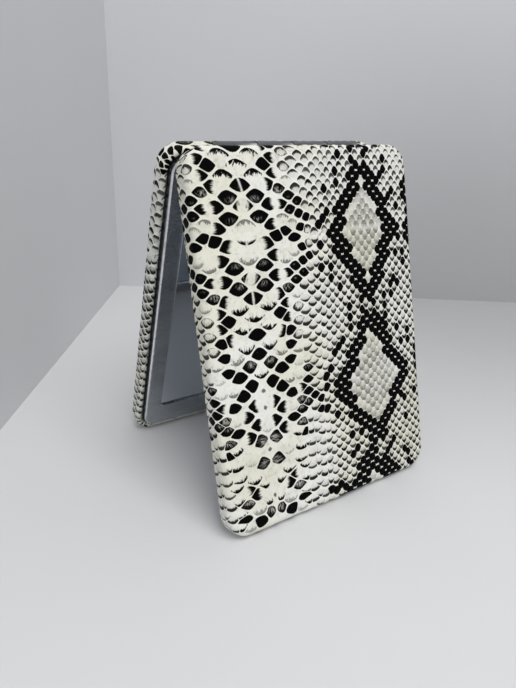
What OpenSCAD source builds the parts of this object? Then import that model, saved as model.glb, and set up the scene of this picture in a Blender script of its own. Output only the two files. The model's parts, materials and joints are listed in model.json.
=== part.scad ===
// Folding pocket mirror, standing open as a tent with its hinge on top.
// The two halves are the same set of parts. Each half is drawn lying flat, with X along the hinge,
// Y from the hinge axis to the free edge and Z outward from the closing plane to the padded face.
// It is then leaned back about the hinge axis, and turned round for the front half.
// The origin is on the floor under the middle of the hinge, with Z up.

/* [Covers] */
// Width of a cover along the hinge
cover_w = 62.2; // [54:0.2:80]
// Height of a cover from its hinge edge to its free edge
cover_h = 85; // [72:0.5:110]
// Corner radius of a cover seen from the front
corner_r = 5.4; // [4.4:0.2:9]
// Rounding of the padded face into the sides
face_r = 1.5; // [1:0.1:2.2]
// Thickness of the leather skin
skin_t = 0.8; // [0.5:0.05:1.1]
// Thickness of the foam under the skin
foam_t = 2; // [1:0.1:4]
// Wall of the stamped shell
shell_t = 0.4; // [0.3:0.05:0.8]
// Rounding of the shell's floor into its wall
shell_r = 0.8; // [0.5:0.05:1]
// Distance from the hinge axis to the hinge edge of a cover
setback = 0.45; // [0.3:0.05:1.5]

/* [Frame and mirror] */
// Half of the gap that is left between the two frames when closed
face_gap = 0.2; // [0.1:0.05:0.6]
// Sheet thickness of the frame
frame_t = 0.6; // [0.4:0.05:1]
// Rounding of the frame's outer edge
frame_edge_r = 0.25; // [0.1:0.05:0.35]
// Gap between the shell's wall and the frame's flange
flange_gap = 0.5; // [0.3:0.05:1]
// Extra distance from the frame to the cover's edge at the free end
free_step = 0.85; // [0:0.05:2]
// Width of the dark seam between the leather hem and the frame
seam_gap = 0.45; // [0.2:0.05:0.5]
// Width of the bezel at the sides and at the hinge
bezel_w = 4.6; // [4:0.1:8]
// Width of the bezel at the free end
bezel_free_w = 7; // [6.6:0.1:12]
// Corner radius of the window in the bezel
window_r = 1; // [0.4:0.1:3]
// Thickness of the mirror glass
glass_t = 1.2; // [1:0.1:2]
// How far the glass reaches behind the free end of the bezel
glass_lap = 1.2; // [0.6:0.1:1.5]
// Thickness of the adhesive sheet under the glass
tape_t = 0.4; // [0.3:0.05:0.8]
// How far the adhesive sheet stops inside the glass
tape_inset = 1; // [0.4:0.1:4]
// Thickness of the backing board
board_t = 0.8; // [0.8:0.05:2]

/* [Hinge] */
// Length of the hinge barrel
hinge_len = 40; // [30:0.5:44]
// Thickness of the hinge leaf
leaf_t = 0.6; // [0.4:0.05:0.7]
// Gap between neighbouring knuckles
knuckle_gap = 0.2; // [0.1:0.05:0.5]
// Radial clearance of the pin in its knuckles
pin_clear = 0.03; // [0.01:0.01:0.1]
// Length of the leaf under the mirror
leaf_reach = 9.5; // [8:0.1:16]
// Radius of a rivet's shank
rivet_r = 0.8; // [0.5:0.05:1]
// Radius of a rivet's head
rivet_head_r = 1.5; // [1.3:0.05:2]
// Height of a rivet's head
rivet_head_t = 0.35; // [0.2:0.05:0.5]
// Distance between neighbouring rivets
rivet_pitch = 14; // [10:0.5:14.5]
// Half of the opening angle of the tent, in degrees
half_open = 16.1; // [5:0.1:45]

/* [Magnets] */
// Length of a magnet along the free edge
magnet_len = 10; // [6:0.5:14]
// Width of a magnet
magnet_w = 4; // [2:0.1:4]
// Distance from the side of the frame to a magnet's centre
magnet_side = 13.35; // [9:0.05:18]

/* [Hidden] */

// Counts and segments
knuckles = 4;
rivets = 3;
arc_fn = 48;
pin_fn = 64;

// Clearances between pieces that are glued or seated, and the overrun of cuts
fit_clear = 0.05;
side_clear = 0.35;
over = 1;

// Heights above the closing plane, from the frame's face outward to the padded face
leaf_z = face_gap + frame_t + fit_clear;
barrel_r = leaf_z + leaf_t;
pin_r = leaf_z - pin_clear;
glass_z = leaf_z;
tape_z = glass_z + glass_t;
board_z = tape_z + tape_t;
shell_z = board_z + board_t + fit_clear;
foam_z = shell_z + shell_t;
face_z = foam_z + foam_t + skin_t;
hem_z = barrel_r + 2 * fit_clear;
shell_rim_z = hem_z + skin_t + fit_clear;

// Insets from the edge of a cover
shell_inset = skin_t + fit_clear;
frame_inset = shell_inset + shell_t + flange_gap;
mouth_inset = frame_inset - seam_gap;
flange_inset = frame_inset + frame_t;
glass_inset = flange_inset + side_clear;

// Places along a half, from the hinge axis towards the free edge
cover_v = setback;
cover_end = setback + cover_h;
frame_v = cover_v + frame_inset;
frame_end = cover_end - frame_inset - free_step;
window_v = frame_v + bezel_w;
window_end = frame_end - bezel_free_w;
tab_v = barrel_r + side_clear;
crank_v = frame_v + frame_t + side_clear;
leaf_end = crank_v + leaf_reach;
rivet_v = (crank_v + leaf_t + leaf_end) / 2;
glass_v = crank_v + leaf_t + side_clear;
glass_end = window_end + glass_lap;
board_v = leaf_end + side_clear;
board_end = frame_end - frame_t - side_clear;
magnet_v = (glass_end + board_end) / 2;

// Height of the hinge axis, with the rounded hem of the free edge on the floor
hem_r = skin_t;
axis_z = (cover_end - hem_r) * cos(half_open) - (hem_z + hem_r) * sin(half_open) + hem_r;

// Stands a half up on its free edge. A turn of 180 makes it the front half.
module stand(turn) {
  rotate([0, 0, turn])
    translate([0, 0, axis_z])
      rotate([half_open - 90, 0, 0])
        children();
}

// Cuts a quarter round of radius r from the corner of a profile at the origin
module corner_cut(r) {
  difference() {
    translate([-r, -r]) square(r + over);
    translate([-r, -r]) circle(r, $fn = arc_fn);
  }
}

// Profile of a plate's edge: reach across, t high, its far side rounded at low and high
module edge_profile(reach, t, low_r, high_r) {
  difference() {
    square([reach, t]);
    if (high_r > 0) translate([reach, t]) corner_cut(high_r);
    if (low_r > 0) translate([reach, 0]) mirror([0, 1]) corner_cut(low_r);
  }
}

// Plate of width w from y = start to y = end and from z = low to z = high, with corners of radius r.
// Its edge is rounded by low_r below and by high_r above.
module plate(w, start, end, r, low, high, low_r = 0, high_r = 0) {
  side_x = w / 2 - r;
  side_y = (end - start) / 2 - r;
  t = high - low;
  translate([0, (start + end) / 2, low]) {
    translate([-side_x, -side_y, 0]) cube([2 * side_x, 2 * side_y, t]);
    for (turn = [0, 180]) rotate([0, 0, turn]) {
      translate([side_x, side_y, 0]) rotate([90, 0, 0])
        linear_extrude(2 * side_y) edge_profile(r, t, low_r, high_r);
      translate([-side_x, side_y, 0]) rotate([90, 0, 90])
        linear_extrude(2 * side_x) edge_profile(r, t, low_r, high_r);
      for (side = [0, 1]) mirror([side, 0, 0]) translate([side_x, side_y, 0])
        rotate_extrude(angle = 90, $fn = arc_fn) edge_profile(r, t, low_r, high_r);
    }
  }
}

// Plate that lies inset from the cover's edge on all sides
module inset_plate(inset, low, high, low_r = 0, high_r = 0) {
  plate(cover_w - 2 * inset, cover_v + inset, cover_end - inset, corner_r - inset,
    low, high, low_r, high_r);
}

// Places children at each rivet of a half
module at_rivets() {
  for (i = [0 : rivets - 1])
    translate([(i - (rivets - 1) / 2) * rivet_pitch, rivet_v, 0]) children();
}

// Leather skin: a tray with a rounded face, whose hem turns in as far as the seam round the frame
module leather_cover() {
  mouth_r = corner_r - mouth_inset;
  color("whitesmoke") difference() {
    inset_plate(0, hem_z, face_z, hem_r, face_r);
    inset_plate(skin_t, hem_z + skin_t, face_z - skin_t, 0, max(face_r - skin_t, 0));
    plate(cover_w - 2 * mouth_inset, frame_v - seam_gap, frame_end + seam_gap, mouth_r,
      hem_z - over, hem_z + skin_t + fit_clear);
  }
}

// Foam sheet between the shell and the skin, with pockets over the rivet heads
module foam_pad() {
  color("lightyellow") difference() {
    inset_plate(shell_inset, foam_z, face_z - skin_t, 0, max(face_r - skin_t, 0));
    at_rivets() translate([0, 0, foam_z - over])
      cylinder(h = over + rivet_head_t + fit_clear, r = rivet_head_r + fit_clear, $fn = arc_fn);
  }
}

// Stamped tray that carries the leaf, the board and the frame
module shell() {
  color("darkgray") difference() {
    inset_plate(shell_inset, shell_rim_z, foam_z, 0, shell_r);
    inset_plate(shell_inset + shell_t, shell_rim_z - over, shell_z, 0, shell_r - shell_t);
    at_rivets() translate([0, 0, shell_rim_z])
      cylinder(h = foam_z - shell_rim_z + over, r = rivet_r + pin_clear, $fn = arc_fn);
  }
}

// Card board between the leaf's end and the free end
module backing_board() {
  color("tan")
    plate(cover_w - 2 * glass_inset, board_v, board_end, corner_r - glass_inset,
      board_z, board_z + board_t);
}

// Adhesive sheet between the board and the glass
module mirror_tape() {
  color("white")
    plate(cover_w - 2 * (glass_inset + tape_inset), board_v + tape_inset, glass_end - tape_inset,
      corner_r - glass_inset, tape_z, board_z);
}

// Silvered glass, seated behind the bezel
module mirror_glass() {
  color("slategray")
    plate(cover_w - 2 * glass_inset, glass_v, glass_end, corner_r - glass_inset, glass_z, tape_z);
}

// Bezel with a window, and a flange down to the shell's floor that is cut away for the leaf
module frame() {
  frame_w = cover_w - 2 * frame_inset;
  slot_w = hinge_len + 2 * side_clear;
  color("silver") difference() {
    plate(frame_w, frame_v, frame_end, corner_r - frame_inset, face_gap, shell_z - fit_clear,
      frame_edge_r, 0);
    plate(frame_w - 2 * frame_t, frame_v + frame_t, frame_end - frame_t, corner_r - flange_inset,
      face_gap + frame_t, shell_z);
    plate(frame_w - 2 * bezel_w, window_v, window_end, window_r, face_gap - over, shell_z);
    translate([-slot_w / 2, frame_v - over, face_gap + frame_t])
      cube([slot_w, over + frame_t + side_clear, shell_z]);
  }
}

// Leaf: two rolled knuckles, tabs over the hem, and a plate cranked down to the shell's floor
module hinge_leaf() {
  step = hinge_len / knuckles;
  color("lightslategray") difference() {
    union() {
      for (i = [0 : 2 : knuckles - 1])
        translate([-hinge_len / 2 + i * step + knuckle_gap / 2, 0, 0]) {
          rotate([0, 90, 0]) cylinder(h = step - knuckle_gap, r = barrel_r, $fn = pin_fn);
          translate([0, 0, leaf_z]) cube([step - knuckle_gap, crank_v + leaf_t, leaf_t]);
        }
      translate([-hinge_len / 2, tab_v, leaf_z]) cube([hinge_len, crank_v + leaf_t - tab_v, leaf_t]);
      translate([-hinge_len / 2, crank_v, leaf_z]) cube([hinge_len, leaf_t, shell_z - leaf_z]);
      translate([-hinge_len / 2, crank_v, shell_z - leaf_t]) cube([hinge_len, leaf_reach, leaf_t]);
    }
    translate([-hinge_len / 2 - over, 0, 0]) rotate([0, 90, 0])
      cylinder(h = hinge_len + 2 * over, r = pin_r + pin_clear, $fn = pin_fn);
    at_rivets() cylinder(h = shell_z + over, r = rivet_r + pin_clear, $fn = arc_fn);
  }
}

// Rivets through the leaf and the shell's floor, with a flat head on each side
module leaf_rivets() {
  color("gainsboro") at_rivets() {
    translate([0, 0, shell_z - leaf_t - rivet_head_t])
      cylinder(h = rivet_head_t, r = rivet_head_r, $fn = arc_fn);
    translate([0, 0, shell_z - leaf_t - rivet_head_t])
      cylinder(h = leaf_t + shell_t + 2 * rivet_head_t, r = rivet_r, $fn = arc_fn);
    translate([0, 0, foam_z]) cylinder(h = rivet_head_t, r = rivet_head_r, $fn = arc_fn);
  }
}

// Bar magnet on the board, between the glass and the flange; side is -1 or 1 along X
module magnet(side) {
  magnet_x = side * (cover_w / 2 - frame_inset - magnet_side);
  color("dimgray")
    translate([magnet_x - magnet_len / 2, magnet_v - magnet_w / 2, glass_z])
      cube([magnet_len, magnet_w, board_z - glass_z]);
}

// Pin through all the knuckles
module hinge_pin() {
  color("gray") translate([-hinge_len / 2, 0, axis_z]) rotate([0, 90, 0])
    cylinder(h = hinge_len, r = pin_r, $fn = pin_fn);
}

stand(180) leather_cover();  // front_leather_cover
stand(180) foam_pad();  // front_foam_pad
stand(180) shell();  // front_shell
stand(180) backing_board();  // front_backing_board
stand(180) mirror_tape();  // front_mirror_tape
stand(180) mirror_glass();  // front_mirror
stand(180) frame();  // front_frame
stand(180) hinge_leaf();  // front_hinge_leaf
stand(180) leaf_rivets();  // front_leaf_rivets
stand(180) magnet(1);  // front_magnet_left
stand(180) magnet(-1);  // front_magnet_right
stand(0) leather_cover();  // rear_leather_cover
stand(0) foam_pad();  // rear_foam_pad
stand(0) shell();  // rear_shell
stand(0) backing_board();  // rear_backing_board
stand(0) mirror_tape();  // rear_mirror_tape
stand(0) mirror_glass();  // rear_mirror
stand(0) frame();  // rear_frame
stand(0) hinge_leaf();  // rear_hinge_leaf
stand(0) leaf_rivets();  // rear_leaf_rivets
stand(0) magnet(-1);  // rear_magnet_left
stand(0) magnet(1);  // rear_magnet_right
hinge_pin();
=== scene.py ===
"""Looks of a folding compact mirror that stands open as a tent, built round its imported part.

Each sub-assembly is a class. The leather's snakeskin print and its embossing are one mesh of scales,
laid out flat and then wrapped round the padded cover. Lengths are in millimetres until a piece is placed.
"""

import json
import logging
import math
from dataclasses import dataclass, field, replace
from enum import Enum, auto
from itertools import product
from typing import ClassVar, Iterator, Optional, Sequence

import bpy
import numpy as np
from mathutils import Matrix, Vector
from mathutils.geometry import delaunay_2d_cdt


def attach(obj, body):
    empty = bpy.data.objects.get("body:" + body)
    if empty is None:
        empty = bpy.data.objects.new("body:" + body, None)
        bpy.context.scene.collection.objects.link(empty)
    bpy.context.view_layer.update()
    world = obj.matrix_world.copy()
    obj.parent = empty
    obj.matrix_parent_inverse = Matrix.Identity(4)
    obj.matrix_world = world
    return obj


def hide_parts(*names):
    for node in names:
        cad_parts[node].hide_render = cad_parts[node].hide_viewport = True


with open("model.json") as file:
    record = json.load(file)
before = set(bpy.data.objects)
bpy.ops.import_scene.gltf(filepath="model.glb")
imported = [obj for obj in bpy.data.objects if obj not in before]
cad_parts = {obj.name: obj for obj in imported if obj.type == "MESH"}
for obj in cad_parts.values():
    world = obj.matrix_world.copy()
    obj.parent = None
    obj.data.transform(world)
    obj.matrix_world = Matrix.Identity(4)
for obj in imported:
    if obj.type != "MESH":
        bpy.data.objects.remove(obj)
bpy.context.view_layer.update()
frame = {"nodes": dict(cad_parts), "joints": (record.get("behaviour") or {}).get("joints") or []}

LOG = logging.getLogger("compact_mirror")
MM = 0.001
Array = np.ndarray


class Half(Enum):
    """The two halves of the compact, by where they stand."""

    FRONT = "front"
    REAR = "rear"

    @property
    def body(self) -> str:
        """Name of the body that the half's pieces ride on."""
        return f"{self.value}_half"

    def node(self, part: str) -> str:
        """Name of one of the half's nodes."""
        return f"{self.value}_{part}"


@dataclass(frozen=True)
class Sizes:
    """Sizes of one half in millimetres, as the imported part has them.

    A half is described lying flat: x along the hinge, v from the hinge axis to the free edge,
    and w outward from the closing plane to the padded face.
    """

    cover_w: float = 62.2
    cover_start: float = 0.45
    cover_end: float = 85.45
    corner_r: float = 5.4
    face_r: float = 1.5
    face_w: float = 6.5
    hem_w: float = 1.55
    hem_r: float = 0.8
    skin_t: float = 0.8
    mouth_inset: float = 1.3
    free_step: float = 0.85
    lip_r: float = 0.3
    foam_w: float = 3.7
    shell_inset: float = 0.85
    frame_inset: float = 1.75
    frame_start: float = 2.2
    frame_end: float = 82.85
    frame_low: float = 0.2
    frame_high: float = 3.25
    frame_t: float = 0.6
    window_half: float = 24.75
    window_start: float = 6.8
    window_end: float = 75.85
    window_r: float = 1.0
    glass_inset: float = 2.7
    glass_start: float = 4.1
    glass_end: float = 77.05
    glass_low: float = 0.85
    glass_high: float = 2.05
    hinge_len: float = 40.0
    leaf_low: float = 0.85
    leaf_t: float = 0.6
    barrel_r: float = 1.45
    bore_r: float = 0.85
    pin_r: float = 0.82
    crank_v: float = 3.15
    leaf_end: float = 12.65
    plate_high: float = 3.3
    tab_v: float = 1.8
    knuckles: int = 4
    knuckle_gap: float = 0.2
    half_open: float = 16.1

    @property
    def step(self) -> float:
        """Length of the hinge that each knuckle takes."""
        return self.hinge_len / self.knuckles


def hinge_height() -> float:
    """Height of the hinge axis above the floor, in millimetres."""
    return frame["joints"][0]["pos_m"][2] / MM


def stand(half: Half, sizes: Sizes) -> Matrix:
    """Gives the matrix that stands a flat half up in its place.

    Args:
        half: which of the two halves.
        sizes: sizes of a half.

    Returns:
        A matrix from flat millimetres to metres in the part's frame.
    """
    lean = math.radians(sizes.half_open)
    leaned = Matrix((
        (1, 0, 0, 0),
        (0, math.sin(lean), math.cos(lean), 0),
        (0, -math.cos(lean), math.sin(lean), hinge_height()),
        (0, 0, 0, 1),
    ))
    turn = Matrix.Rotation(math.pi if half is Half.FRONT else 0.0, 4, "Z")
    return Matrix.Scale(MM, 4) @ turn @ leaned


def make_piece(name: str, points: Array, faces: Sequence[Sequence[int]], place: Matrix,
               finishes: Sequence[bpy.types.Material],
               slots: Optional[Sequence[int]] = None) -> bpy.types.Object:
    """Makes a smooth-shaded mesh object whose place is in its mesh.

    Args:
        name: the piece's name.
        points: its vertices in millimetres, one row each.
        faces: its faces as tuples of vertex numbers.
        place: matrix from flat millimetres to metres.
        finishes: its materials in slot order.
        slots: the material slot of each face, all the first where it isn't given.

    Returns:
        The new object, linked to the scene.
    """
    mesh = bpy.data.meshes.new(name)
    mesh.from_pydata(np.asarray(points, float).tolist(), [], [tuple(f) for f in faces])
    mesh.transform(place)
    for finish in finishes:
        mesh.materials.append(finish)
    mesh.polygons.foreach_set("use_smooth", np.ones(len(mesh.polygons), bool))
    if slots is not None:
        mesh.polygons.foreach_set("material_index", np.asarray(slots, np.int32))
    mesh.update()
    piece = bpy.data.objects.new(name, mesh)
    bpy.context.scene.collection.objects.link(piece)
    return piece


def sharpen(piece: bpy.types.Object, degrees: float) -> None:
    """Marks the edges sharper than an angle, so that smooth shading stops at them.

    Args:
        piece: a mesh object.
        degrees: the angle between faces from which an edge is sharp.
    """
    piece.data.set_sharp_from_angle(angle=math.radians(degrees))


def bevel(piece: bpy.types.Object, width: float, degrees: float = 35) -> None:
    """Rounds a piece's sharp edges and applies the modifier.

    Args:
        piece: a mesh object.
        width: width of the rounding in millimetres.
        degrees: the angle between faces from which an edge is rounded.
    """
    modifier = piece.modifiers.new("rounding", "BEVEL")
    modifier.width = width * MM
    modifier.segments = 2
    modifier.limit_method = "ANGLE"
    modifier.angle_limit = math.radians(degrees)
    depsgraph = bpy.context.evaluated_depsgraph_get()
    mesh = bpy.data.meshes.new_from_object(piece.evaluated_get(depsgraph))
    old = piece.data
    piece.modifiers.clear()
    piece.data = mesh
    bpy.data.meshes.remove(old)
    mesh.name = piece.name


def mark_rim(piece: bpy.types.Object, values: Sequence[float]) -> None:
    """Stores how near each point of a piece is to an edge that is painted brighter, partly as wear and partly
    as a painted highlight.
    """
    attribute = piece.data.attributes.new("rim", "FLOAT", "POINT")
    attribute.data.foreach_set("value", np.asarray(values, np.float32))


def settle(piece: bpy.types.Object, node: str, body: str) -> None:
    """Says which node a piece stands for and which body carries it."""
    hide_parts(node)
    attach(piece, body)
    LOG.info("%s: %d faces", piece.name, len(piece.data.polygons))


def rounding(shares: Sequence[float]) -> Iterator[tuple[float, float]]:
    """Gives how far in and how far from its end a quarter round of radius 1 is, at shares of its turn."""
    for share in shares:
        turn = share * math.pi / 2
        yield 1 - math.cos(turn), 1 - math.sin(turn)


@dataclass(frozen=True)
class Outline:
    """A rectangle with rounded corners in the plane of a half."""

    half_w: float
    start: float
    end: float
    radius: float

    def inset(self, depth: float) -> "Outline":
        """Gives the outline moved inward by a depth, with its corners kept concentric."""
        radius = max(self.radius - depth, 0.05)
        return Outline(self.half_w - depth, self.start + depth, self.end - depth, radius)

    def points(self, arc: int, notches: Sequence[float] = ()) -> Array:
        """Gives the outline's points in order, seen from the padded face.

        Args:
            arc: segments in each corner.
            notches: extra points along the hinge side, as places along x.

        Returns:
            An array of x and v, the same number for any outline with the same arguments.
        """
        side = self.half_w - self.radius
        corners = (
            (side, self.end, 90), (-side, self.end, 180), (-side, self.start, 270), (side, self.start, 360),
        )
        found: list[tuple[float, float]] = []
        for index, (x, v, last) in enumerate(corners):
            middle = v - self.radius if index < 2 else v + self.radius
            for step in range(arc + 1):
                turn = math.radians(last - 90 + 90 * step / arc)
                found.append((x + self.radius * math.cos(turn), middle + self.radius * math.sin(turn)))
            if index == 2:
                found.extend((place, self.start) for place in notches)
        return np.array(found)


class Loops:
    """Rows of points joined into bands of faces, for pieces drawn as a profile round an outline."""

    def __init__(self) -> None:
        """Starts with no rows."""
        self.points: list[Array] = []
        self.faces: list[tuple[int, ...]] = []
        self.slots: list[int] = []
        self.count = 0

    def ring(self, points: Array) -> list[int]:
        """Adds a closed row of points in three dimensions and gives their numbers."""
        self.points.append(points)
        first = self.count
        self.count += len(points)
        return list(range(first, self.count))

    def row(self, flat: Array, height: float | Array) -> list[int]:
        """Adds a closed row of points that lie flat.

        Args:
            flat: x and v of the points.
            height: w of the points, one value or one for each.

        Returns:
            The numbers of the new vertices.
        """
        w = np.broadcast_to(np.asarray(height, float), (len(flat),))
        return self.ring(np.column_stack([flat, w]))

    def band(self, low: Sequence[int], high: Sequence[int], slot: int = 0) -> None:
        """Joins two rows of the same length by a closed band of quads."""
        size = len(low)
        for i in range(size):
            j = (i + 1) % size
            self.faces.append((low[i], low[j], high[j], high[i]))
            self.slots.append(slot)

    def chain(self, rows: Sequence[Sequence[int]]) -> None:
        """Joins rows one after the other."""
        for low, high in zip(rows, rows[1:]):
            self.band(high, low)

    def cap(self, row: Sequence[int], slot: int = 0, flip: bool = False) -> None:
        """Closes a row with one face."""
        self.faces.append(tuple(reversed(row)) if flip else tuple(row))
        self.slots.append(slot)

    def array(self) -> Array:
        """Gives all the points as one array."""
        return np.concatenate(self.points)


# Shader helpers and the effects that several finishes share


class Board:
    """Adds nodes to a material or a group, with inputs that are numbers or other nodes' sockets."""

    def __init__(self, tree: bpy.types.NodeTree) -> None:
        """Keeps the tree that the nodes go to."""
        self.tree = tree

    def add(self, kind: str, settings: Optional[dict] = None, **inputs: object) -> bpy.types.Node:
        """Adds a node.

        Args:
            kind: the node's type without its ShaderNode prefix.
            settings: properties of the node to set.
            inputs: input sockets by name, with underscores for spaces, as values or sockets.

        Returns:
            The new node.
        """
        node = self.tree.nodes.new("ShaderNode" + kind)
        for key, value in (settings or {}).items():
            setattr(node, key, value)
        for key, value in inputs.items():
            self.feed(node.inputs[key.replace("_", " ")], value)
        return node

    def feed(self, socket: bpy.types.NodeSocket, value: object) -> None:
        """Links a socket to an input, or sets the input's own value."""
        if isinstance(value, bpy.types.NodeSocket):
            self.tree.links.new(value, socket)
        elif value is not None:
            socket.default_value = value

    def math(self, operation: str, first: object, second: object = None, third: object = None,
             clamp: bool = False) -> bpy.types.NodeSocket:
        """Adds a math node and gives its result."""
        node = self.add("Math", {"operation": operation, "use_clamp": clamp})
        for index, value in enumerate((first, second, third)):
            self.feed(node.inputs[index], value)
        return node.outputs[0]

    def vector_math(self, operation: str, first: object, second: object = None) -> bpy.types.NodeSocket:
        """Adds a vector math node and gives its result."""
        node = self.add("VectorMath", {"operation": operation})
        for index, value in enumerate((first, second)):
            self.feed(node.inputs[index], value)
        return node.outputs["Value" if operation in ("LENGTH", "DISTANCE") else "Vector"]

    def ramp(self, value: object, low: float, high: float, start: float = 0.0,
             end: float = 1.0) -> bpy.types.NodeSocket:
        """Maps a value smoothly from one range to another."""
        node = self.add("MapRange", {"interpolation_type": "SMOOTHSTEP"}, Value=value)
        for name, number in (("From Min", low), ("From Max", high), ("To Min", start), ("To Max", end)):
            node.inputs[name].default_value = number
        return node.outputs["Result"]

    def mix(self, share: object, first: object, second: object) -> bpy.types.NodeSocket:
        """Mixes two colours."""
        node = self.add("Mix", {"data_type": "RGBA"})
        self.feed(node.inputs[0], share)
        self.feed(node.inputs[6], first)
        self.feed(node.inputs[7], second)
        return node.outputs[2]

    def noise(self, vector: object, scale: float, detail: float = 2.0,
              roughness: float = 0.5) -> bpy.types.NodeSocket:
        """Adds a noise texture and gives its value."""
        node = self.add("TexNoise", Vector=vector, Scale=scale, Detail=detail, Roughness=roughness)
        return node.outputs[0]

    def place(self) -> bpy.types.NodeSocket:
        """Gives the object's own coordinates in metres."""
        return self.add("TexCoord").outputs["Object"]

    def attribute(self, name: str) -> bpy.types.Node:
        """Reads an attribute of the mesh."""
        return self.add("Attribute", {"attribute_name": name})


class SharedEffect:
    """A shader group that several finishes use, built once and then placed with its own values."""

    name: ClassVar[str]
    inputs: ClassVar[dict[str, float]]
    outputs: ClassVar[tuple[str, ...]]

    @classmethod
    def group(cls) -> bpy.types.NodeTree:
        """Gives the group, building it the first time."""
        found = bpy.data.node_groups.get(cls.name)
        if found is not None:
            return found
        tree = bpy.data.node_groups.new(cls.name, "ShaderNodeTree")
        for label, default in cls.inputs.items():
            socket = tree.interface.new_socket(name=label, in_out="INPUT", socket_type="NodeSocketFloat")
            socket.default_value = default
        for label in cls.outputs:
            tree.interface.new_socket(name=label, in_out="OUTPUT", socket_type="NodeSocketFloat")
        board = Board(tree)
        entry = tree.nodes.new("NodeGroupInput")
        leave = tree.nodes.new("NodeGroupOutput")
        cls.wire(board, entry, leave)
        return tree

    @classmethod
    def wire(cls, board: Board, entry: bpy.types.Node, leave: bpy.types.Node) -> None:
        """Wires the group's inside."""
        raise NotImplementedError

    @classmethod
    def use(cls, board: Board, **values: object) -> bpy.types.Node:
        """Places the group in a material.

        Args:
            board: the material's board.
            values: its inputs by name, with underscores for spaces.

        Returns:
            The group node.
        """
        node = board.tree.nodes.new("ShaderNodeGroup")
        node.node_tree = cls.group()
        for key, value in values.items():
            board.feed(node.inputs[key.replace("_", " ")], value)
        return node


class FineGrain(SharedEffect):
    """Fine surface grain: a height for bump and a mask of its cells, both from solid noise."""

    name = "fine grain"
    inputs = {"Scale": 3000.0, "Stretch": 1.0, "Contrast": 1.0}
    outputs = ("Height", "Mask")

    @classmethod
    def wire(cls, board: Board, entry: bpy.types.Node, leave: bpy.types.Node) -> None:
        """Wires two sizes of noise together, stretched along the hinge's direction."""
        axes = board.add("SeparateXYZ", Vector=board.place())
        along = board.math("MULTIPLY", axes.outputs[0], entry.outputs["Stretch"])
        place = board.add("CombineXYZ", X=along, Y=axes.outputs[1], Z=axes.outputs[2]).outputs[0]
        coarse = board.add("TexNoise", Vector=place, Scale=entry.outputs["Scale"], Detail=3.0)
        twice = board.math("MULTIPLY", entry.outputs["Scale"], 2.7)
        cells = board.add("TexVoronoi", {"feature": "SMOOTH_F1"}, Vector=place, Scale=twice, Smoothness=0.6)
        both = board.math("ADD", coarse.outputs[0], board.math("MULTIPLY", cells.outputs[0], 0.5))
        height = board.math("MULTIPLY", board.math("SUBTRACT", both, 0.7), entry.outputs["Contrast"])
        board.feed(leave.inputs["Height"], height)
        board.feed(leave.inputs["Mask"], board.ramp(both, 0.45, 0.95))


class Handling(SharedEffect):
    """Traces of use: soft smudges, thin scratches and a film of dust, each as a mask."""

    name = "traces of use"
    inputs = {"Smudges": 0.5, "Scratches": 0.3, "Dust": 0.3}
    outputs = ("Smudge", "Scratch", "Dust")

    @classmethod
    def wire(cls, board: Board, entry: bpy.types.Node, leave: bpy.types.Node) -> None:
        """Wires each trace from noise of its own size."""
        place = board.place()
        wide = board.ramp(board.noise(place, 70.0, 3.0, 0.55), 0.46, 0.72)
        board.feed(leave.inputs["Smudge"], board.math("MULTIPLY", wide, entry.outputs["Smudges"]))
        bent = board.vector_math("ADD", place, board.add("TexNoise", Vector=place, Scale=40.0).outputs[1])
        turned = board.add("Mapping", Vector=bent)
        turned.inputs["Scale"].default_value = (1.0, 30.0, 3.0)
        turned.inputs["Rotation"].default_value = (0.4, 0.2, 0.7)
        lines = board.noise(turned.outputs[0], 22.0, 2.0, 0.5)
        off = board.math("ABSOLUTE", board.math("SUBTRACT", lines, 0.5))
        thin = board.math("SUBTRACT", 1.0, board.ramp(off, 0.0, 0.006))
        board.feed(leave.inputs["Scratch"], board.math("MULTIPLY", thin, entry.outputs["Scratches"]))
        specks = board.ramp(board.noise(place, 2600.0, 1.0, 0.5), 0.70, 0.78)
        board.feed(leave.inputs["Dust"], board.math("MULTIPLY", specks, entry.outputs["Dust"]))


class RimWearAndHighlight(SharedEffect):
    """Wear and painted highlight along the edges that a piece marks with its rim attribute, broken up by
    noise.
    """

    name = "rim wear and painted highlight"
    inputs = {"Amount": 0.5, "Breakup": 900.0}
    outputs = ("Mask",)

    @classmethod
    def wire(cls, board: Board, entry: bpy.types.Node, leave: bpy.types.Node) -> None:
        """Wires the rim attribute against noise."""
        rim = board.attribute("rim").outputs["Fac"]
        broken = board.add("TexNoise", Vector=board.place(), Scale=entry.outputs["Breakup"], Detail=3.0)
        ragged = board.math("MULTIPLY", board.math("SUBTRACT", broken.outputs[0], 0.5), 0.9)
        level = board.math("ADD", rim, ragged)
        mask = board.ramp(level, 0.45, 0.95)
        board.feed(leave.inputs["Mask"], board.math("MULTIPLY", mask, entry.outputs["Amount"]))


Colour = tuple[float, float, float]


def rgba(colour: Colour) -> tuple[float, float, float, float]:
    """Gives a colour with full alpha."""
    return (*colour, 1.0)


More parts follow.
